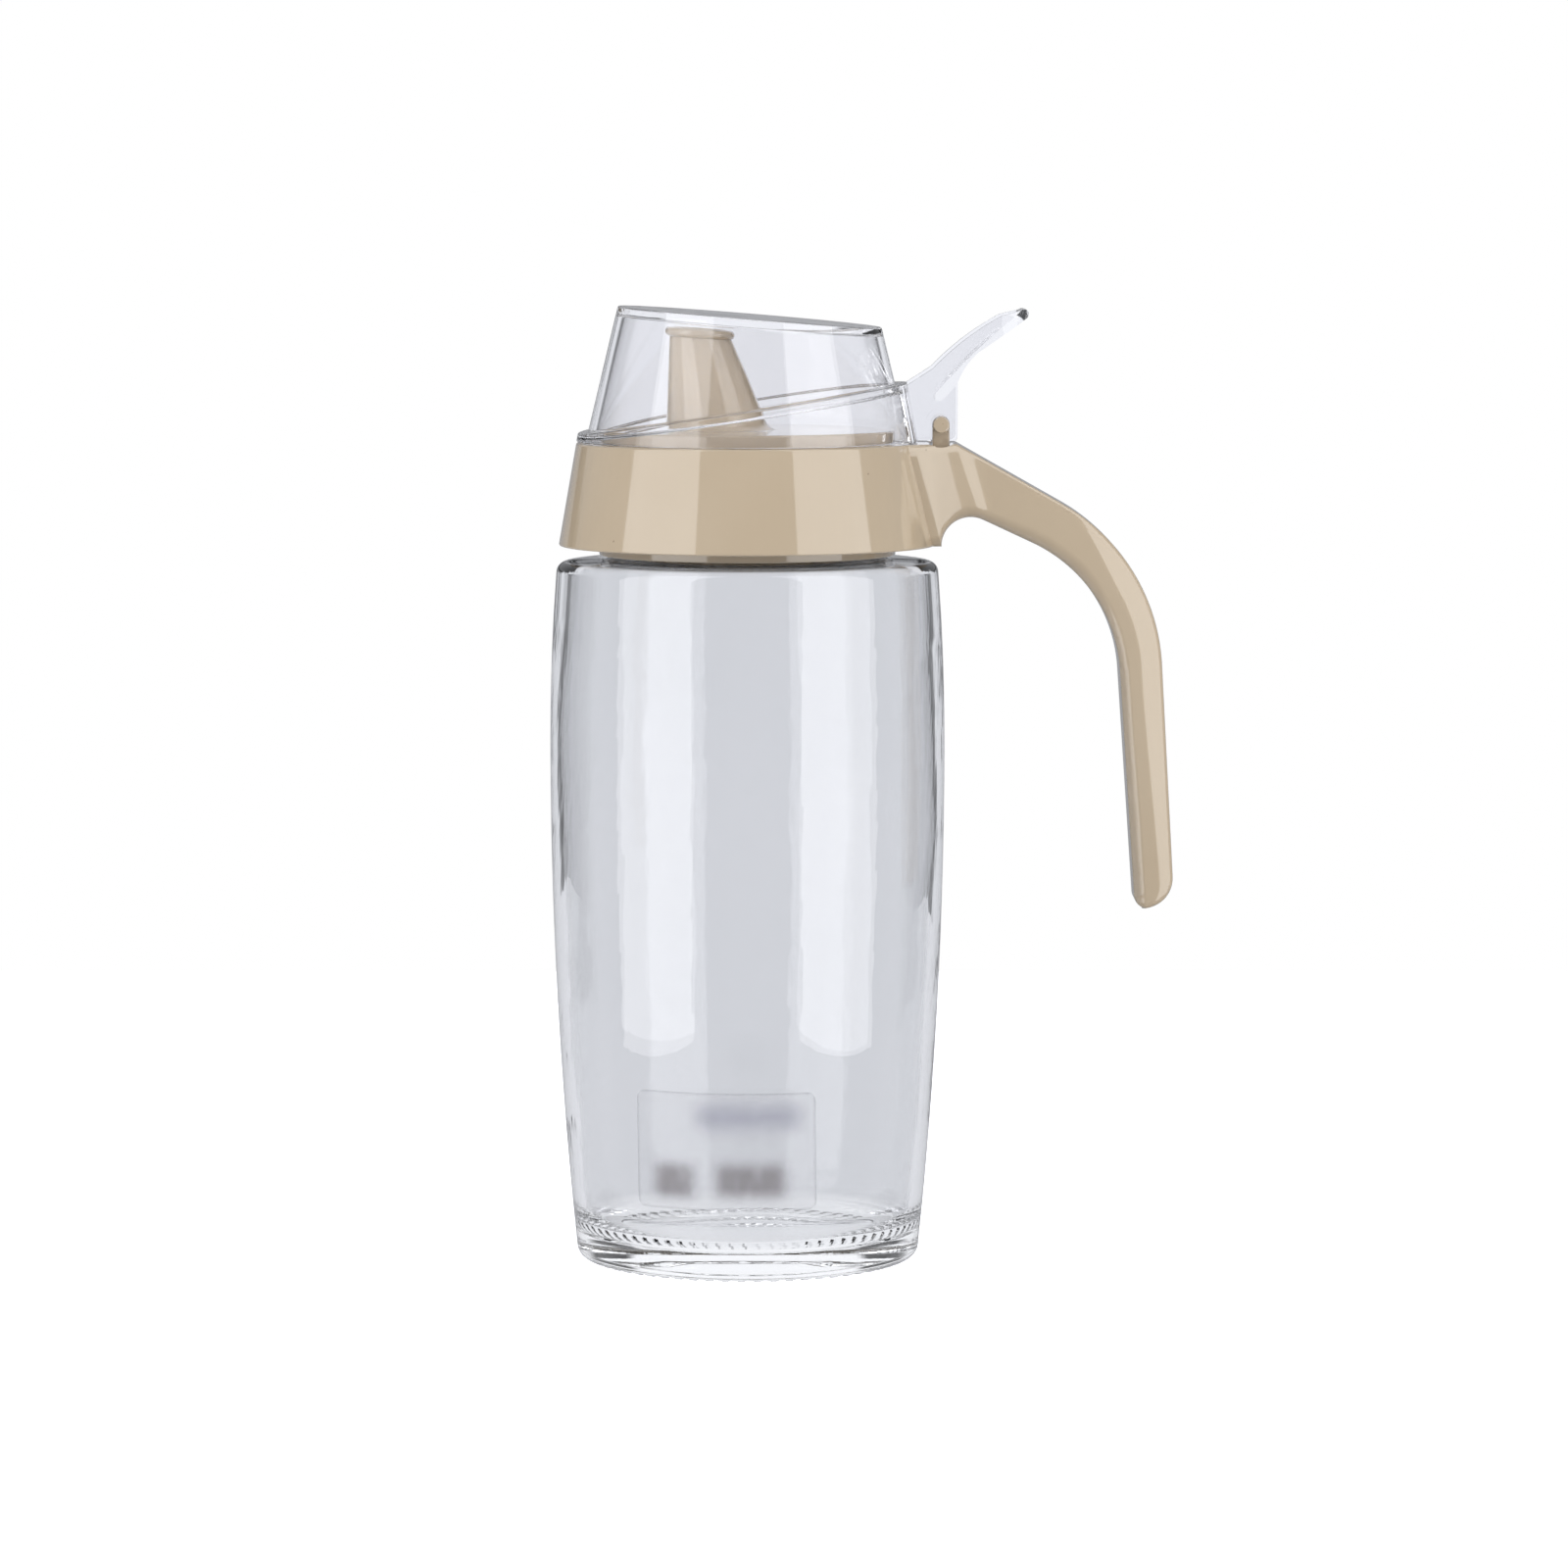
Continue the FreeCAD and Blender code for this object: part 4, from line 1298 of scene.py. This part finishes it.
        half_way = ((root_x + shoulder[0]) / 2, shoulder[1])
        back = between((root_x, shoulder[1]), half_way, 2 * self.root_steps)
        back += between(half_way, shoulder, self.arch_steps)
        grip = between((root_x, foot[1]), foot, self.root_steps) + between(foot, arch[0], self.root_steps)
        grip += arch[:-1]
        back += between(shoulder, back_bend[0], self.slope_steps) + back_bend[:-1]
        grip += between(arch[-1], grip_bend[0], self.slope_steps) + grip_bend[:-1]
        back += between(back_bend[-1], back_tip[0], self.grip_steps) + back_tip + [middle]
        grip += between(grip_bend[-1], grip_tip[0], self.grip_steps) + grip_tip + [middle]
        return back, grip

    def half_widths(self, x: float) -> Pair:
        """Half the handle's width, which is broad at the collar.

        Args:
            x: the place along X.

        Returns:
            The half widths at its back and at its grip side.
        """
        share = min(1.0, max(0.0, (self.waist_x - x) / (self.waist_x - self.crease_x)))
        flare = share ** self.flare_bend
        return (self.grip_half_width + (self.root_top_half_width - self.grip_half_width) * flare,
                self.grip_half_width + (self.root_low_half_width - self.grip_half_width) * flare)

    def section(self, back: Pair, grip: Pair, shrink: float) -> list[Point]:
        """One ring of the handle.

        Args:
            back: the side view point on its back.
            grip: the side view point on its grip side.
            shrink: what is taken off the half width, towards the tip's end.

        Returns:
            The ring's points: a crisp back, a soft ridge on each side down the grip, a round grip side.
        """
        start, end = Vector(back), Vector(grip)
        depth = max((end - start).length, 1e-3)
        down = (end - start) / depth
        nearest = min(back[0], grip[0] + self.flare_lead)
        wide, narrow = (value - shrink for value in self.half_widths(nearest))
        bent = smooth_step(back[0], self.ridge_start_x, self.ridge_start_x + self.ridge_run)
        fallen = smooth_step(self.top - back[1], self.ridge_drop, self.length)
        ridge = (self.ridge_at_root + self.ridge_gain * bent) * (1 - fallen) + self.ridge_at_tip * fallen
        half = [
            Corner(0.0, 0.0),
            Corner(wide - self.ridge_fall * bent, 0.0, self.back_round),
            Corner(wide + (narrow - wide) * ridge, ridge * depth, self.ridge_round),
            Corner(narrow - self.grip_fall * self.ridge_fall * bent, depth, self.grip_round),
            Corner(0.0, depth),
        ]
        right = rounded(half, steps=6)
        outline = right + [(-y, run) for y, run in right[-2:0:-1]]
        return [(start.x + down.x * run, y, start.y + down.y * run) for y, run in outline]

    def handle(self) -> Form:
        """The open-ended handle, skinned over its sections.

        Returns:
            The form.
        """
        tip = self.top - self.length
        rings = []
        for back_point, grip_point in zip(*self.side_lines()):
            rise = max(0.0, (back_point[1] + grip_point[1]) / 2 - tip)
            share = max(0.0, 1 - rise / self.end_round)
            shrink = self.end_round * (1 - math.sqrt(1 - share * share))
            rings.append(self.section(back_point, grip_point, shrink))
        return lofted(rings[:-1], looped=False, capped=True)

    def lug(self) -> Piece:
        """The lug between the lid's ears, with its two stub pins.

        Returns:
            The piece.
        """
        foot = self.top - self.top_thickness
        left, right = PIN_X - self.lug_round, PIN_X + self.lug_round
        dome = arc_points((left, PIN_Z), (PIN_X, PIN_Z + self.lug_round), (right, PIN_Z), 16)
        outline = [(left, foot)] + dome + [(right, foot)]
        piece = prism(outline, Facing.SIDE, -self.lug_half, self.lug_half).piece("lug")
        round_edges(piece, self.lug_edge)
        circle = circle_points((PIN_X, PIN_Z), self.pin_radius, 32)
        pins = prism(circle, Facing.SIDE, -self.pin_end, self.pin_end).piece("pins")
        round_edges(pins, self.pin_edge)
        join(piece, pins, Joining.ADD)
        return piece

    def land(self) -> Piece:
        """What is cut off the collar's top so that the ears' feet can swing round the pins."""
        outline = circle_points((PIN_X, PIN_Z), self.land_radius, 72)
        return prism(outline, Facing.SIDE, -self.land_half_width, self.land_half_width).piece("land")

    def hollow(self) -> Piece:
        """The space inside the collar's outer wall, which the handle's root must not fill.

        Returns:
            The piece.
        """
        spare = 1.0
        taper = self.flare / self.height
        low_radius = self.top_radius + self.flare - self.wall / 2
        drop = self.root_arch + spare
        points = [(0.0, self.bottom - drop), (low_radius + taper * drop, self.bottom - drop),
                  (low_radius - taper * self.height, self.top + spare), (0.0, self.top + spare)]
        return turned(lambda angle: points, 96, closed=False).piece("hollow")

    def build(self) -> Piece:
        """Make the collar.

        Returns:
            The piece.
        """
        piece = self.ring().piece("collar_with_handle")
        handle = self.handle().piece("handle")
        join(handle, self.hollow(), Joining.CUT)
        join(piece, handle, Joining.ADD)
        join(piece, self.land(), Joining.CUT)
        join(piece, self.lug(), Joining.ADD)
        dress(piece, BEIGE_PLASTIC.material(), self.crease)
        hand_over(piece, Body.VESSEL, "collar")
        return piece


@dataclass
class Lid:
    """The clear flip lid: skirt, slanted shelf, crown, ears and thumb tab. Millimetres.

    The ears' and the tab's sizes named reach and rise are measured from the hinge pin.
    """

    wall: float = 1.8
    skirt_radius: float = 34.7
    skirt_taper: float = 0.185
    crown_radius: float = 26.2
    crown_taper: float = 0.24
    height: float = 27.5
    top_tilt: float = 4.7
    shelf_height: float = 7.1
    shelf_tilt: float = 8.8
    least_skirt: float = 0.06            # what is left of the skirt where the shelf meets the edge
    least_step: float = 0.08             # how far above the edge the crown's foot stays there
    top_round: float = 0.45
    shelf_round: float = 0.5
    crown_foot_round: float = 0.5
    edge_round: float = 0.25
    inner_rounds: tuple[float, ...] = (0.3, 0.5, 0.7)    # at the shelf, the crown's foot and the top
    sunk: float = 0.3                    # how far the ears reach into the shell's wall
    ear_inner: float = 7.5
    ear_thickness: float = 2.0
    slot_half_width: float = 1.67
    recess_half_width: float = 2.65
    recess_depth: float = 0.7
    tip_reach: float = 17.5
    tip_rise: float = 22.9
    tip_spare: float = 0.3               # how far the plan reaches past the tab's tip
    floor_start_reach: float = -1.2
    floor_start_rise: float = 6.2
    floor_sag: float = 0.5
    floor_thickness: float = 2.0
    floor_short: float = 0.7             # how many of its thicknesses the floor ends before the tip
    rim_end_reach: float = 12.2
    rim_end_rise: float = 21.9
    rim_bow: float = 0.7
    belly_reach: float = 7.3
    belly_rise: float = 14.4
    plan_round: float = 6.5
    crest_reach: float = -1.7
    crest_rise: float = 11.3
    back_reach: float = 3.3
    back_flare: float = 1.4
    foot_round: float = 1.4
    tab_edge: float = 0.22
    segments: int = 256
    arc_steps: int = 16
    crease: float = 30.0
    edge: float = field(default_factory=lambda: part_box("lid")[0].z / MM)

    @property
    def top(self) -> float:
        """Height of the top at its highest, which is away from the handle."""
        return self.edge + self.height

    @property
    def ear_outer(self) -> float:
        """Y of an ear's outer face."""
        return self.ear_inner + self.ear_thickness

    def cone_meets_plane(self, radius: float, level: float, taper: float,
                         height: float, slope: float) -> Pair:
        """Where a cone's side meets a slanted plane, at one angle round the axis.

        Args:
            radius: the cone's radius at a level.
            level: that level.
            taper: radius lost for each millimetre of height.
            height: the plane's height on the axis.
            slope: its rise for each millimetre outwards, at this angle.

        Returns:
            The meeting point's radius and height.
        """
        meeting = (radius - taper * (height - level)) / (1 + taper * slope)
        return meeting, height + slope * meeting

    def skin(self, angle: float, inwards: float) -> list[Pair]:
        """Corners of the lid's form at an angle round its axis.

        Args:
            angle: the angle from +X.
            inwards: how far inside the outer surface.

        Returns:
            The foot, the shelf's outer edge, the crown's foot, the top's edge and the top's centre.
        """
        shelf_slope = math.tan(math.radians(self.shelf_tilt)) * math.cos(angle)
        top_slope = -math.tan(math.radians(self.top_tilt)) * math.cos(angle)
        top_height = self.top - self.crown_radius * math.tan(math.radians(self.top_tilt)) - inwards
        shelf_height = self.edge + self.shelf_height - inwards
        skirt = self.skirt_radius - inwards
        crown = self.crown_radius - inwards
        outer = self.cone_meets_plane(skirt, self.edge, self.skirt_taper, shelf_height, shelf_slope)
        foot = self.cone_meets_plane(crown, self.top, self.crown_taper, shelf_height, shelf_slope)
        top = self.cone_meets_plane(crown, self.top, self.crown_taper, top_height, top_slope)
        if outer[1] < self.edge + self.least_skirt:
            outer = (skirt - self.skirt_taper * self.least_skirt, self.edge + self.least_skirt)
        if foot[1] < self.edge + self.least_step:
            foot = (crown + self.crown_taper * (self.height - self.least_step), self.edge + self.least_step)
        return [(skirt, self.edge), outer, foot, top, (0.0, top_height)]

    def shell_profile(self, angle: float) -> list[Pair]:
        """Profile of the whole shell, from the top's centre round the edge to the inside.

        Args:
            angle: the angle from +X round the lid's axis.

        Returns:
            The (radius, height) points.
        """
        foot, shelf, root, rim, centre = self.skin(angle, 0.0)
        inner = self.skin(angle, self.wall)
        corners = [
            Corner(*centre), Corner(*rim, self.top_round), Corner(*root, self.crown_foot_round),
            Corner(*shelf, self.shelf_round), Corner(*foot, self.edge_round),
            Corner(*inner[0], self.edge_round),
        ]
        corners += [Corner(*place, size) for place, size in zip(inner[1:4], self.inner_rounds)]
        return rounded(corners + [Corner(*inner[4])])

    def inner_profile(self, angle: float) -> list[Pair]:
        """Profile of the space inside the lid, which the ears must not fill.

        Args:
            angle: the angle from +X round the lid's axis.

        Returns:
            The (radius, height) points, taken a little below the lid's edge.
        """
        below = self.edge - 2.0
        foot, shelf, root, rim, centre = self.skin(angle, self.wall - self.sunk)
        return [centre, rim, root, shelf, foot, (foot[0], below), (0.0, below)]

    def from_pin(self, reach: float, rise: float) -> Pair:
        """A side view point given from the hinge pin's centre."""
        return PIN_X + reach, PIN_Z + rise

    def floor_lines(self) -> tuple[list[Pair], list[Pair]]:
        """Side view of the tab's bowed floor.

        Returns:
            Its upper and its lower line, root to tip.
        """
        start = Vector(self.from_pin(self.floor_start_reach, self.floor_start_rise))
        end = Vector(self.from_pin(self.tip_reach - self.floor_short * self.floor_thickness, self.tip_rise))
        along = (end - start).normalized()
        normal = Vector((-along.y, along.x))
        middle = (start + end) / 2 + normal * self.floor_sag
        drop = normal * -self.floor_thickness
        return arc_points(start, middle, end, 20), arc_points(start + drop, middle + drop, end + drop, 20)

    def ear_outline(self) -> list[Pair]:
        """Side view of an ear with the tab's side above it.

        Returns:
            The outline's points.
        """
        upper, lower = self.floor_lines()
        shelf_x = self.skirt_radius - self.skirt_taper * self.crest_rise
        shelf_z = self.edge + self.shelf_height + shelf_x * math.tan(math.radians(self.shelf_tilt))
        inside_x = shelf_x - 1.5 * self.wall
        crest = Vector(self.from_pin(self.crest_reach, self.crest_rise))
        rim_end = Vector(self.from_pin(self.rim_end_reach, self.rim_end_rise))
        along = (rim_end - crest).normalized()
        bow = (crest + rim_end) / 2 + Vector((-along.y, along.x)) * self.rim_bow
        belly = self.from_pin(self.belly_reach, self.belly_rise)
        throat = self.from_pin(self.back_reach + self.back_flare, self.crest_rise)
        back_high = self.from_pin(self.back_reach, self.crest_rise - 2 * self.back_flare)
        foot = rounded([Corner(*back_high), Corner(back_high[0], self.edge, self.foot_round),
                        Corner(inside_x, self.edge)])
        outline = [(inside_x, shelf_z - self.wall), (shelf_x, shelf_z - self.shelf_round / 2)]
        outline += arc_points(crest, bow, rim_end, self.arc_steps)
        end = (Vector(upper[-1]) + Vector(lower[-1])) / 2
        along = (Vector(upper[-1]) - Vector(upper[-2])).normalized()
        outline += arc_points(upper[-1], end + along * self.floor_thickness / 2, lower[-1], 10)
        outline += arc_points(belly, throat, back_high, 10)
        return outline + foot[1:]

    def slot_outline(self, half_width: float) -> list[Pair]:
        """A slot over the pin, round at the top and open at the lower edge.

        Args:
            half_width: half the slot's width, and the radius of its round top.

        Returns:
            The outline's points.
        """
        below = self.edge - 3.0
        left, right = PIN_X - half_width, PIN_X + half_width
        dome = arc_points((left, PIN_Z), (PIN_X, PIN_Z + half_width), (right, PIN_Z), self.arc_steps)
        return [(left, below)] + dome + [(right, below)]

    def plan_outline(self) -> list[Pair]:
        """The tab seen from above, with its tip rounded.

        Returns:
            The outline's points.
        """
        start = self.skirt_radius - 6.0
        tip = PIN_X + self.tip_reach + self.tip_spare
        corners = [Corner(start, -self.ear_outer), Corner(tip, -self.ear_outer, self.plan_round),
                   Corner(tip, self.ear_outer, self.plan_round), Corner(start, self.ear_outer)]
        return rounded(corners, steps=12, closed=True)

    def cut_outlines(self) -> tuple[list[Pair], list[Pair]]:
        """Side views of what is cut out between the tab's sides, above and below its floor.

        Returns:
            The outline of the scoop over the floor and of the space between the ears.
        """
        upper, lower = self.floor_lines()
        start = self.skirt_radius - 9.0
        high, low = self.top + 20, self.edge - 5
        root_drop = 8.0
        over_tip = (upper[-1][0] + 6.0, upper[-1][1] + 5.2)
        under_tip = (lower[-1][0] + 8.0, lower[-1][1] + 6.9)
        root = upper[0][1] - root_drop
        above = [(start, root), (upper[0][0], root)] + upper + [over_tip, (over_tip[0], high), (start, high)]
        below = [(start, low), (start, lower[0][1])] + lower + [under_tip, (under_tip[0], low)]
        return above, below

    def ears_and_tab(self) -> Piece:
        """The two ears, the tab's sides and its floor, with the slots over the pins.

        Returns:
            The piece.
        """
        far = 12.0
        piece = prism(self.ear_outline(), Facing.SIDE, -self.ear_outer, self.ear_outer).piece("tab")
        plan = prism(self.plan_outline(), Facing.ABOVE, self.edge - 5, self.top + 20)
        join(piece, plan.piece("plan"), Joining.KEEP_COMMON)
        recess = self.slot_outline(self.recess_half_width)
        recess_start = self.ear_outer - self.recess_depth
        tools = [prism(outline, Facing.SIDE, -self.ear_inner, self.ear_inner)
                 for outline in self.cut_outlines()]
        tools += [
            prism(self.slot_outline(self.slot_half_width), Facing.SIDE, -far, far),
            prism(recess, Facing.SIDE, -far, -recess_start),
            prism(recess, Facing.SIDE, recess_start, far),
        ]
        for tool in tools:
            join(piece, tool.piece("cut"), Joining.CUT)
        round_edges(piece, self.tab_edge, angle=38.0)
        return piece

    def build(self) -> Piece:
        """Make the lid.

        Returns:
            The piece.
        """
        piece = turned(self.shell_profile, self.segments, closed=False).piece("clear_lid")
        tab = self.ears_and_tab()
        join(tab, turned(self.inner_profile, self.segments, closed=False).piece("inside"), Joining.CUT)
        join(piece, tab, Joining.ADD)
        dress(piece, CLEAR_PLASTIC.material(), self.crease)
        hand_over(piece, Body.FLIP_LID, "lid")
        return piece


@dataclass
class Label:
    """The small film label on the front of the glass. Millimetres."""

    bottle: Bottle
    width: float = 36.0
    turn: float = -7.0                   # degrees from the front, to the left
    bottom: float = 14.9
    height: float = 24.0
    corner_round: float = 1.8
    thickness: float = 0.12
    gap: float = 0.03
    columns: int = 48
    corner_steps: int = 8
    side_steps: int = 20
    crease: float = 60.0

    def rows(self) -> list[Pair]:
        """The label's rows, which lie closer in the rounded corners.

        Returns:
            Each row's height and half width.
        """
        corner, half = self.corner_round, self.width / 2
        turns = [math.pi / 2 * step / self.corner_steps for step in range(self.corner_steps + 1)]
        low = [(corner * (1 - math.cos(t)), half - corner * (1 - math.sin(t))) for t in turns]
        middle = [(corner + (self.height - 2 * corner) * step / self.side_steps, half)
                  for step in range(1, self.side_steps)]
        high = [(self.height - rise, width) for rise, width in reversed(low)]
        return low + middle + high

    def skin(self, rows: Sequence[Pair]) -> tuple[Form, list[Pair]]:
        """The film's outer and inner side with the rim between them.

        Args:
            rows: each row's height and half width.

        Returns:
            The form, and each point's place on the film's map.
        """
        form = Form()
        places: list[Pair] = []
        for offset in (self.gap + self.thickness, self.gap):
            for rise, half in rows:
                height = self.bottom + rise
                radius = self.bottle.wall_radius(height) + offset
                for column in range(self.columns + 1):
                    across = half * (2 * column / self.columns - 1)
                    angle = math.asin(across / radius) + math.radians(self.turn - 90)
                    form.points.append((radius * math.cos(angle), radius * math.sin(angle), height))
                    places.append((across / self.width + 0.5, rise / self.height))
        wide = self.columns + 1
        sheet = len(rows) * wide
        for row in range(len(rows) - 1):
            for column in range(self.columns):
                first = row * wide + column
                face = (first, first + 1, first + wide + 1, first + wide)
                form.faces.append(face)
                form.faces.append(tuple(sheet + index for index in reversed(face)))
        rim = list(range(wide))
        rim += [row * wide + self.columns for row in range(1, len(rows))]
        rim += [(len(rows) - 1) * wide + column for column in range(self.columns - 1, -1, -1)]
        rim += [row * wide for row in range(len(rows) - 2, 0, -1)]
        for first, second in zip(rim, rim[1:] + rim[:1]):
            form.faces.append((second, first, first + sheet, second + sheet))
        return form, places

    def build(self) -> Piece:
        """Make the film as a thin closed skin with its own map.

        Returns:
            The piece.
        """
        digits = 6
        form, places = self.skin(self.rows())
        on_map = {tuple(round(value * MM, digits) for value in point): place
                  for point, place in zip(form.points, places)}
        piece = form.piece("film_label")
        layer = piece.data.uv_layers.new(name=FILM_MAP)
        for loop in piece.data.loops:
            key = tuple(round(value, digits) for value in piece.data.vertices[loop.vertex_index].co)
            layer.data[loop.index].uv = on_map.get(key, (0.5, 0.5))
        dress(piece, FILM.material(), self.crease)
        hand_over(piece, Body.VESSEL, "label")
        return piece


# ---------------------------------------------------------------------------------------------
# Studio


@dataclass(frozen=True)
class SoftBox:
    """A tall soft box beside the camera. Metres, and degrees from the camera's direction.

    One that shows in gloss and glass lights nothing, and one that lights shows in neither.
    """

    distance: float
    inner: float
    outer: float
    radiance: float
    in_gloss: bool
    height: float = 0.9
    lift: float = 0.005

    def place(self, side: int) -> None:
        """Add the soft box on one side.

        Args:
            side: -1 for the left of the camera and 1 for the right.
        """
        middle = math.radians((self.inner + self.outer) / 2)
        half = math.radians((self.outer - self.inner) / 2)
        lamp = bpy.data.lights.new("soft box", "AREA")
        lamp.shape = "RECTANGLE"
        lamp.size = 2 * self.distance * math.tan(half)
        lamp.size_y = self.height
        lamp.energy = self.radiance * math.pi * lamp.size * lamp.size_y
        made = bpy.data.objects.new(lamp.name, lamp)
        made.location = (side * math.sin(middle) * self.distance, -math.cos(middle) * self.distance,
                         self.height / 2 + self.lift)
        aim = Vector((-made.location.x, -made.location.y, 0.0))
        made.rotation_euler = aim.to_track_quat("-Z", "Y").to_euler()
        made.visible_camera = False
        made.visible_diffuse = not self.in_gloss
        made.visible_glossy = self.in_gloss
        made.visible_transmission = self.in_gloss
        bpy.context.scene.collection.objects.link(made)


@dataclass
class Studio:
    """A pale floor, a white surround with dark flags, tall soft boxes and the camera.

    Metres. The flags and the strip are placed by the parts of a direction of length 1, and each of
    their pairs runs from where they begin to where they are full.
    """

    lamps: tuple[SoftBox, ...] = (
        SoftBox(0.42, 33.0, 82.0, radiance=1.25, in_gloss=False),
        SoftBox(0.20, 29.7, 74.5, radiance=1.95, in_gloss=True),
    )
    sky: Colour = (0.985, 1.0, 1.045, 1)
    fill: float = 0.48                   # the surround's level as it lights the object
    front_fill: float = 0.25             # what is added to it from the front
    front: Pair = (-0.2, -1.0)
    gloss_level: float = 0.35            # its level in reflections
    strip_level: float = 0.05            # and in a low strip behind the object
    strip_rise: Pair = (0.045, 0.052)
    strip_fall: Pair = (0.085, 0.075)
    strip_depth: Pair = (0.3, 0.6)
    flag_level: float = 0.08             # its level through glass at the two side flags
    flag_rise: Pair = (0.45, 0.53)
    flag_fall: Pair = (0.90, 0.75)
    flag_depth: Pair = (0.0, 0.1)
    flag_foot: Pair = (-0.22, -0.14)
    glass_bounces: int = 24
    floor_size: float = 0.9
    floor_colour: float = 0.8
    floor_grain: float = 1.02
    floor_grain_scale: float = 14.0
    floor_seen: float = 0.95
    lens: float = 140.6
    sensor: float = 36.0
    camera_place: Point = (0.00746, -1.2446, 0.220)
    camera_pitch: float = 5.6415

    def add_world(self) -> None:
        """Surround the object with white that only shows, gloss and glass included, and a fill."""
        world = bpy.data.worlds.new("studio")
        bpy.context.scene.world = world
        world.use_nodes = True
        world.node_tree.nodes.clear()
        sketch = Sketch(world.node_tree)
        path = sketch.node("ShaderNodeLightPath")
        x, y, z = sketch.split(sketch.node("ShaderNodeTexCoord").outputs["Generated"])
        flags = sketch.product(sketch.band(sketch.math("ABSOLUTE", x), self.flag_rise, self.flag_fall),
                               sketch.ease(y, *self.flag_depth), sketch.ease(z, *self.flag_foot))
        glass = sketch.fade(flags, 1.0, self.flag_level)
        strip = sketch.product(sketch.band(z, self.strip_rise, self.strip_fall),
                               sketch.ease(y, *self.strip_depth))
        gloss = sketch.fade(strip, self.gloss_level, self.strip_level)
        level = sketch.math("MULTIPLY_ADD", sketch.ease(y, *self.front), self.front_fill, self.fill)
        level = sketch.fade(path.outputs["Is Glossy Ray"], level, gloss)
        level = sketch.fade(path.outputs["Is Transmission Ray"], level, glass)
        camera = path.outputs["Is Camera Ray"]
        level = sketch.fade(camera, level, 1.0)
        background = sketch.node("ShaderNodeBackground")
        sketch.feed(background.inputs["Color"], sketch.blend(camera, self.sky, (1, 1, 1, 1)))
        sketch.feed(background.inputs["Strength"], level)
        output = sketch.node("ShaderNodeOutputWorld")
        sketch.feed(output.inputs["Surface"], background.outputs[0])

    def add_floor(self) -> None:
        """Lay the floor, which keeps the object's shadow but is lifted to white where it is seen."""
        half = self.floor_size / 2
        corners = [(-half, -half, 0), (half, -half, 0), (half, half, 0), (-half, half, 0)]
        mesh = bpy.data.meshes.new("floor")
        mesh.from_pydata(corners, [], [(0, 1, 2, 3)])
        floor = bpy.data.objects.new("floor", mesh)
        bpy.context.scene.collection.objects.link(floor)
        material, sketch, shader = new_material("pale floor")
        low, high = self.floor_colour, self.floor_colour * self.floor_grain
        grain = sketch.cloud(self.floor_grain_scale, 3.0)
        pale = sketch.blend(grain, (low, low, low, 1), (high, high, high, 1))
        shader.inputs["Roughness"].default_value = 1.0
        shader.inputs["Specular IOR Level"].default_value = 0.0
        path = sketch.node("ShaderNodeLightPath")
        gloss, through = path.outputs["Is Glossy Ray"], path.outputs["Is Transmission Ray"]
        sketch.feed(shader.inputs["Base Color"], sketch.blend(gloss, pale, (0, 0, 0, 1)))
        lift = sketch.product(gloss, sketch.fade(through, self.gloss_level, 1.0))
        lift = sketch.math("MULTIPLY_ADD", path.outputs["Is Camera Ray"], self.floor_seen, lift)
        shader.inputs["Emission Color"].default_value = self.sky
        sketch.feed(shader.inputs["Emission Strength"], lift)
        mesh.materials.append(material)

    def add_camera(self) -> None:
        """Set up the camera."""
        data = bpy.data.cameras.new("camera")
        data.lens = self.lens
        data.sensor_width = self.sensor
        camera = bpy.data.objects.new("camera", data)
        camera.location = self.camera_place
        camera.rotation_euler = (math.radians(90 - self.camera_pitch), 0.0, 0.0)
        bpy.context.scene.collection.objects.link(camera)
        bpy.context.scene.camera = camera

    def build(self) -> None:
        """Set up the whole studio."""
        self.add_camera()
        self.add_world()
        self.add_floor()
        for lamp in self.lamps:
            lamp.place(-1)
            lamp.place(1)
        scene = bpy.context.scene
        scene.view_settings.view_transform = "Standard"
        scene.cycles.max_bounces = self.glass_bounces
        scene.cycles.glossy_bounces = self.glass_bounces
        scene.cycles.transmission_bounces = self.glass_bounces


def main() -> None:
    """Build the studio and the pieces in order."""
    logging.basicConfig(level=logging.INFO, format="%(name)s: %(message)s")
    Studio().build()
    bottle = Bottle()
    bottle.build()
    Label(bottle).build()
    insert = PouringInsert()
    Collar(insert).build()
    insert.build()
    Lid().build()


if __name__ == "__main__":
    main()
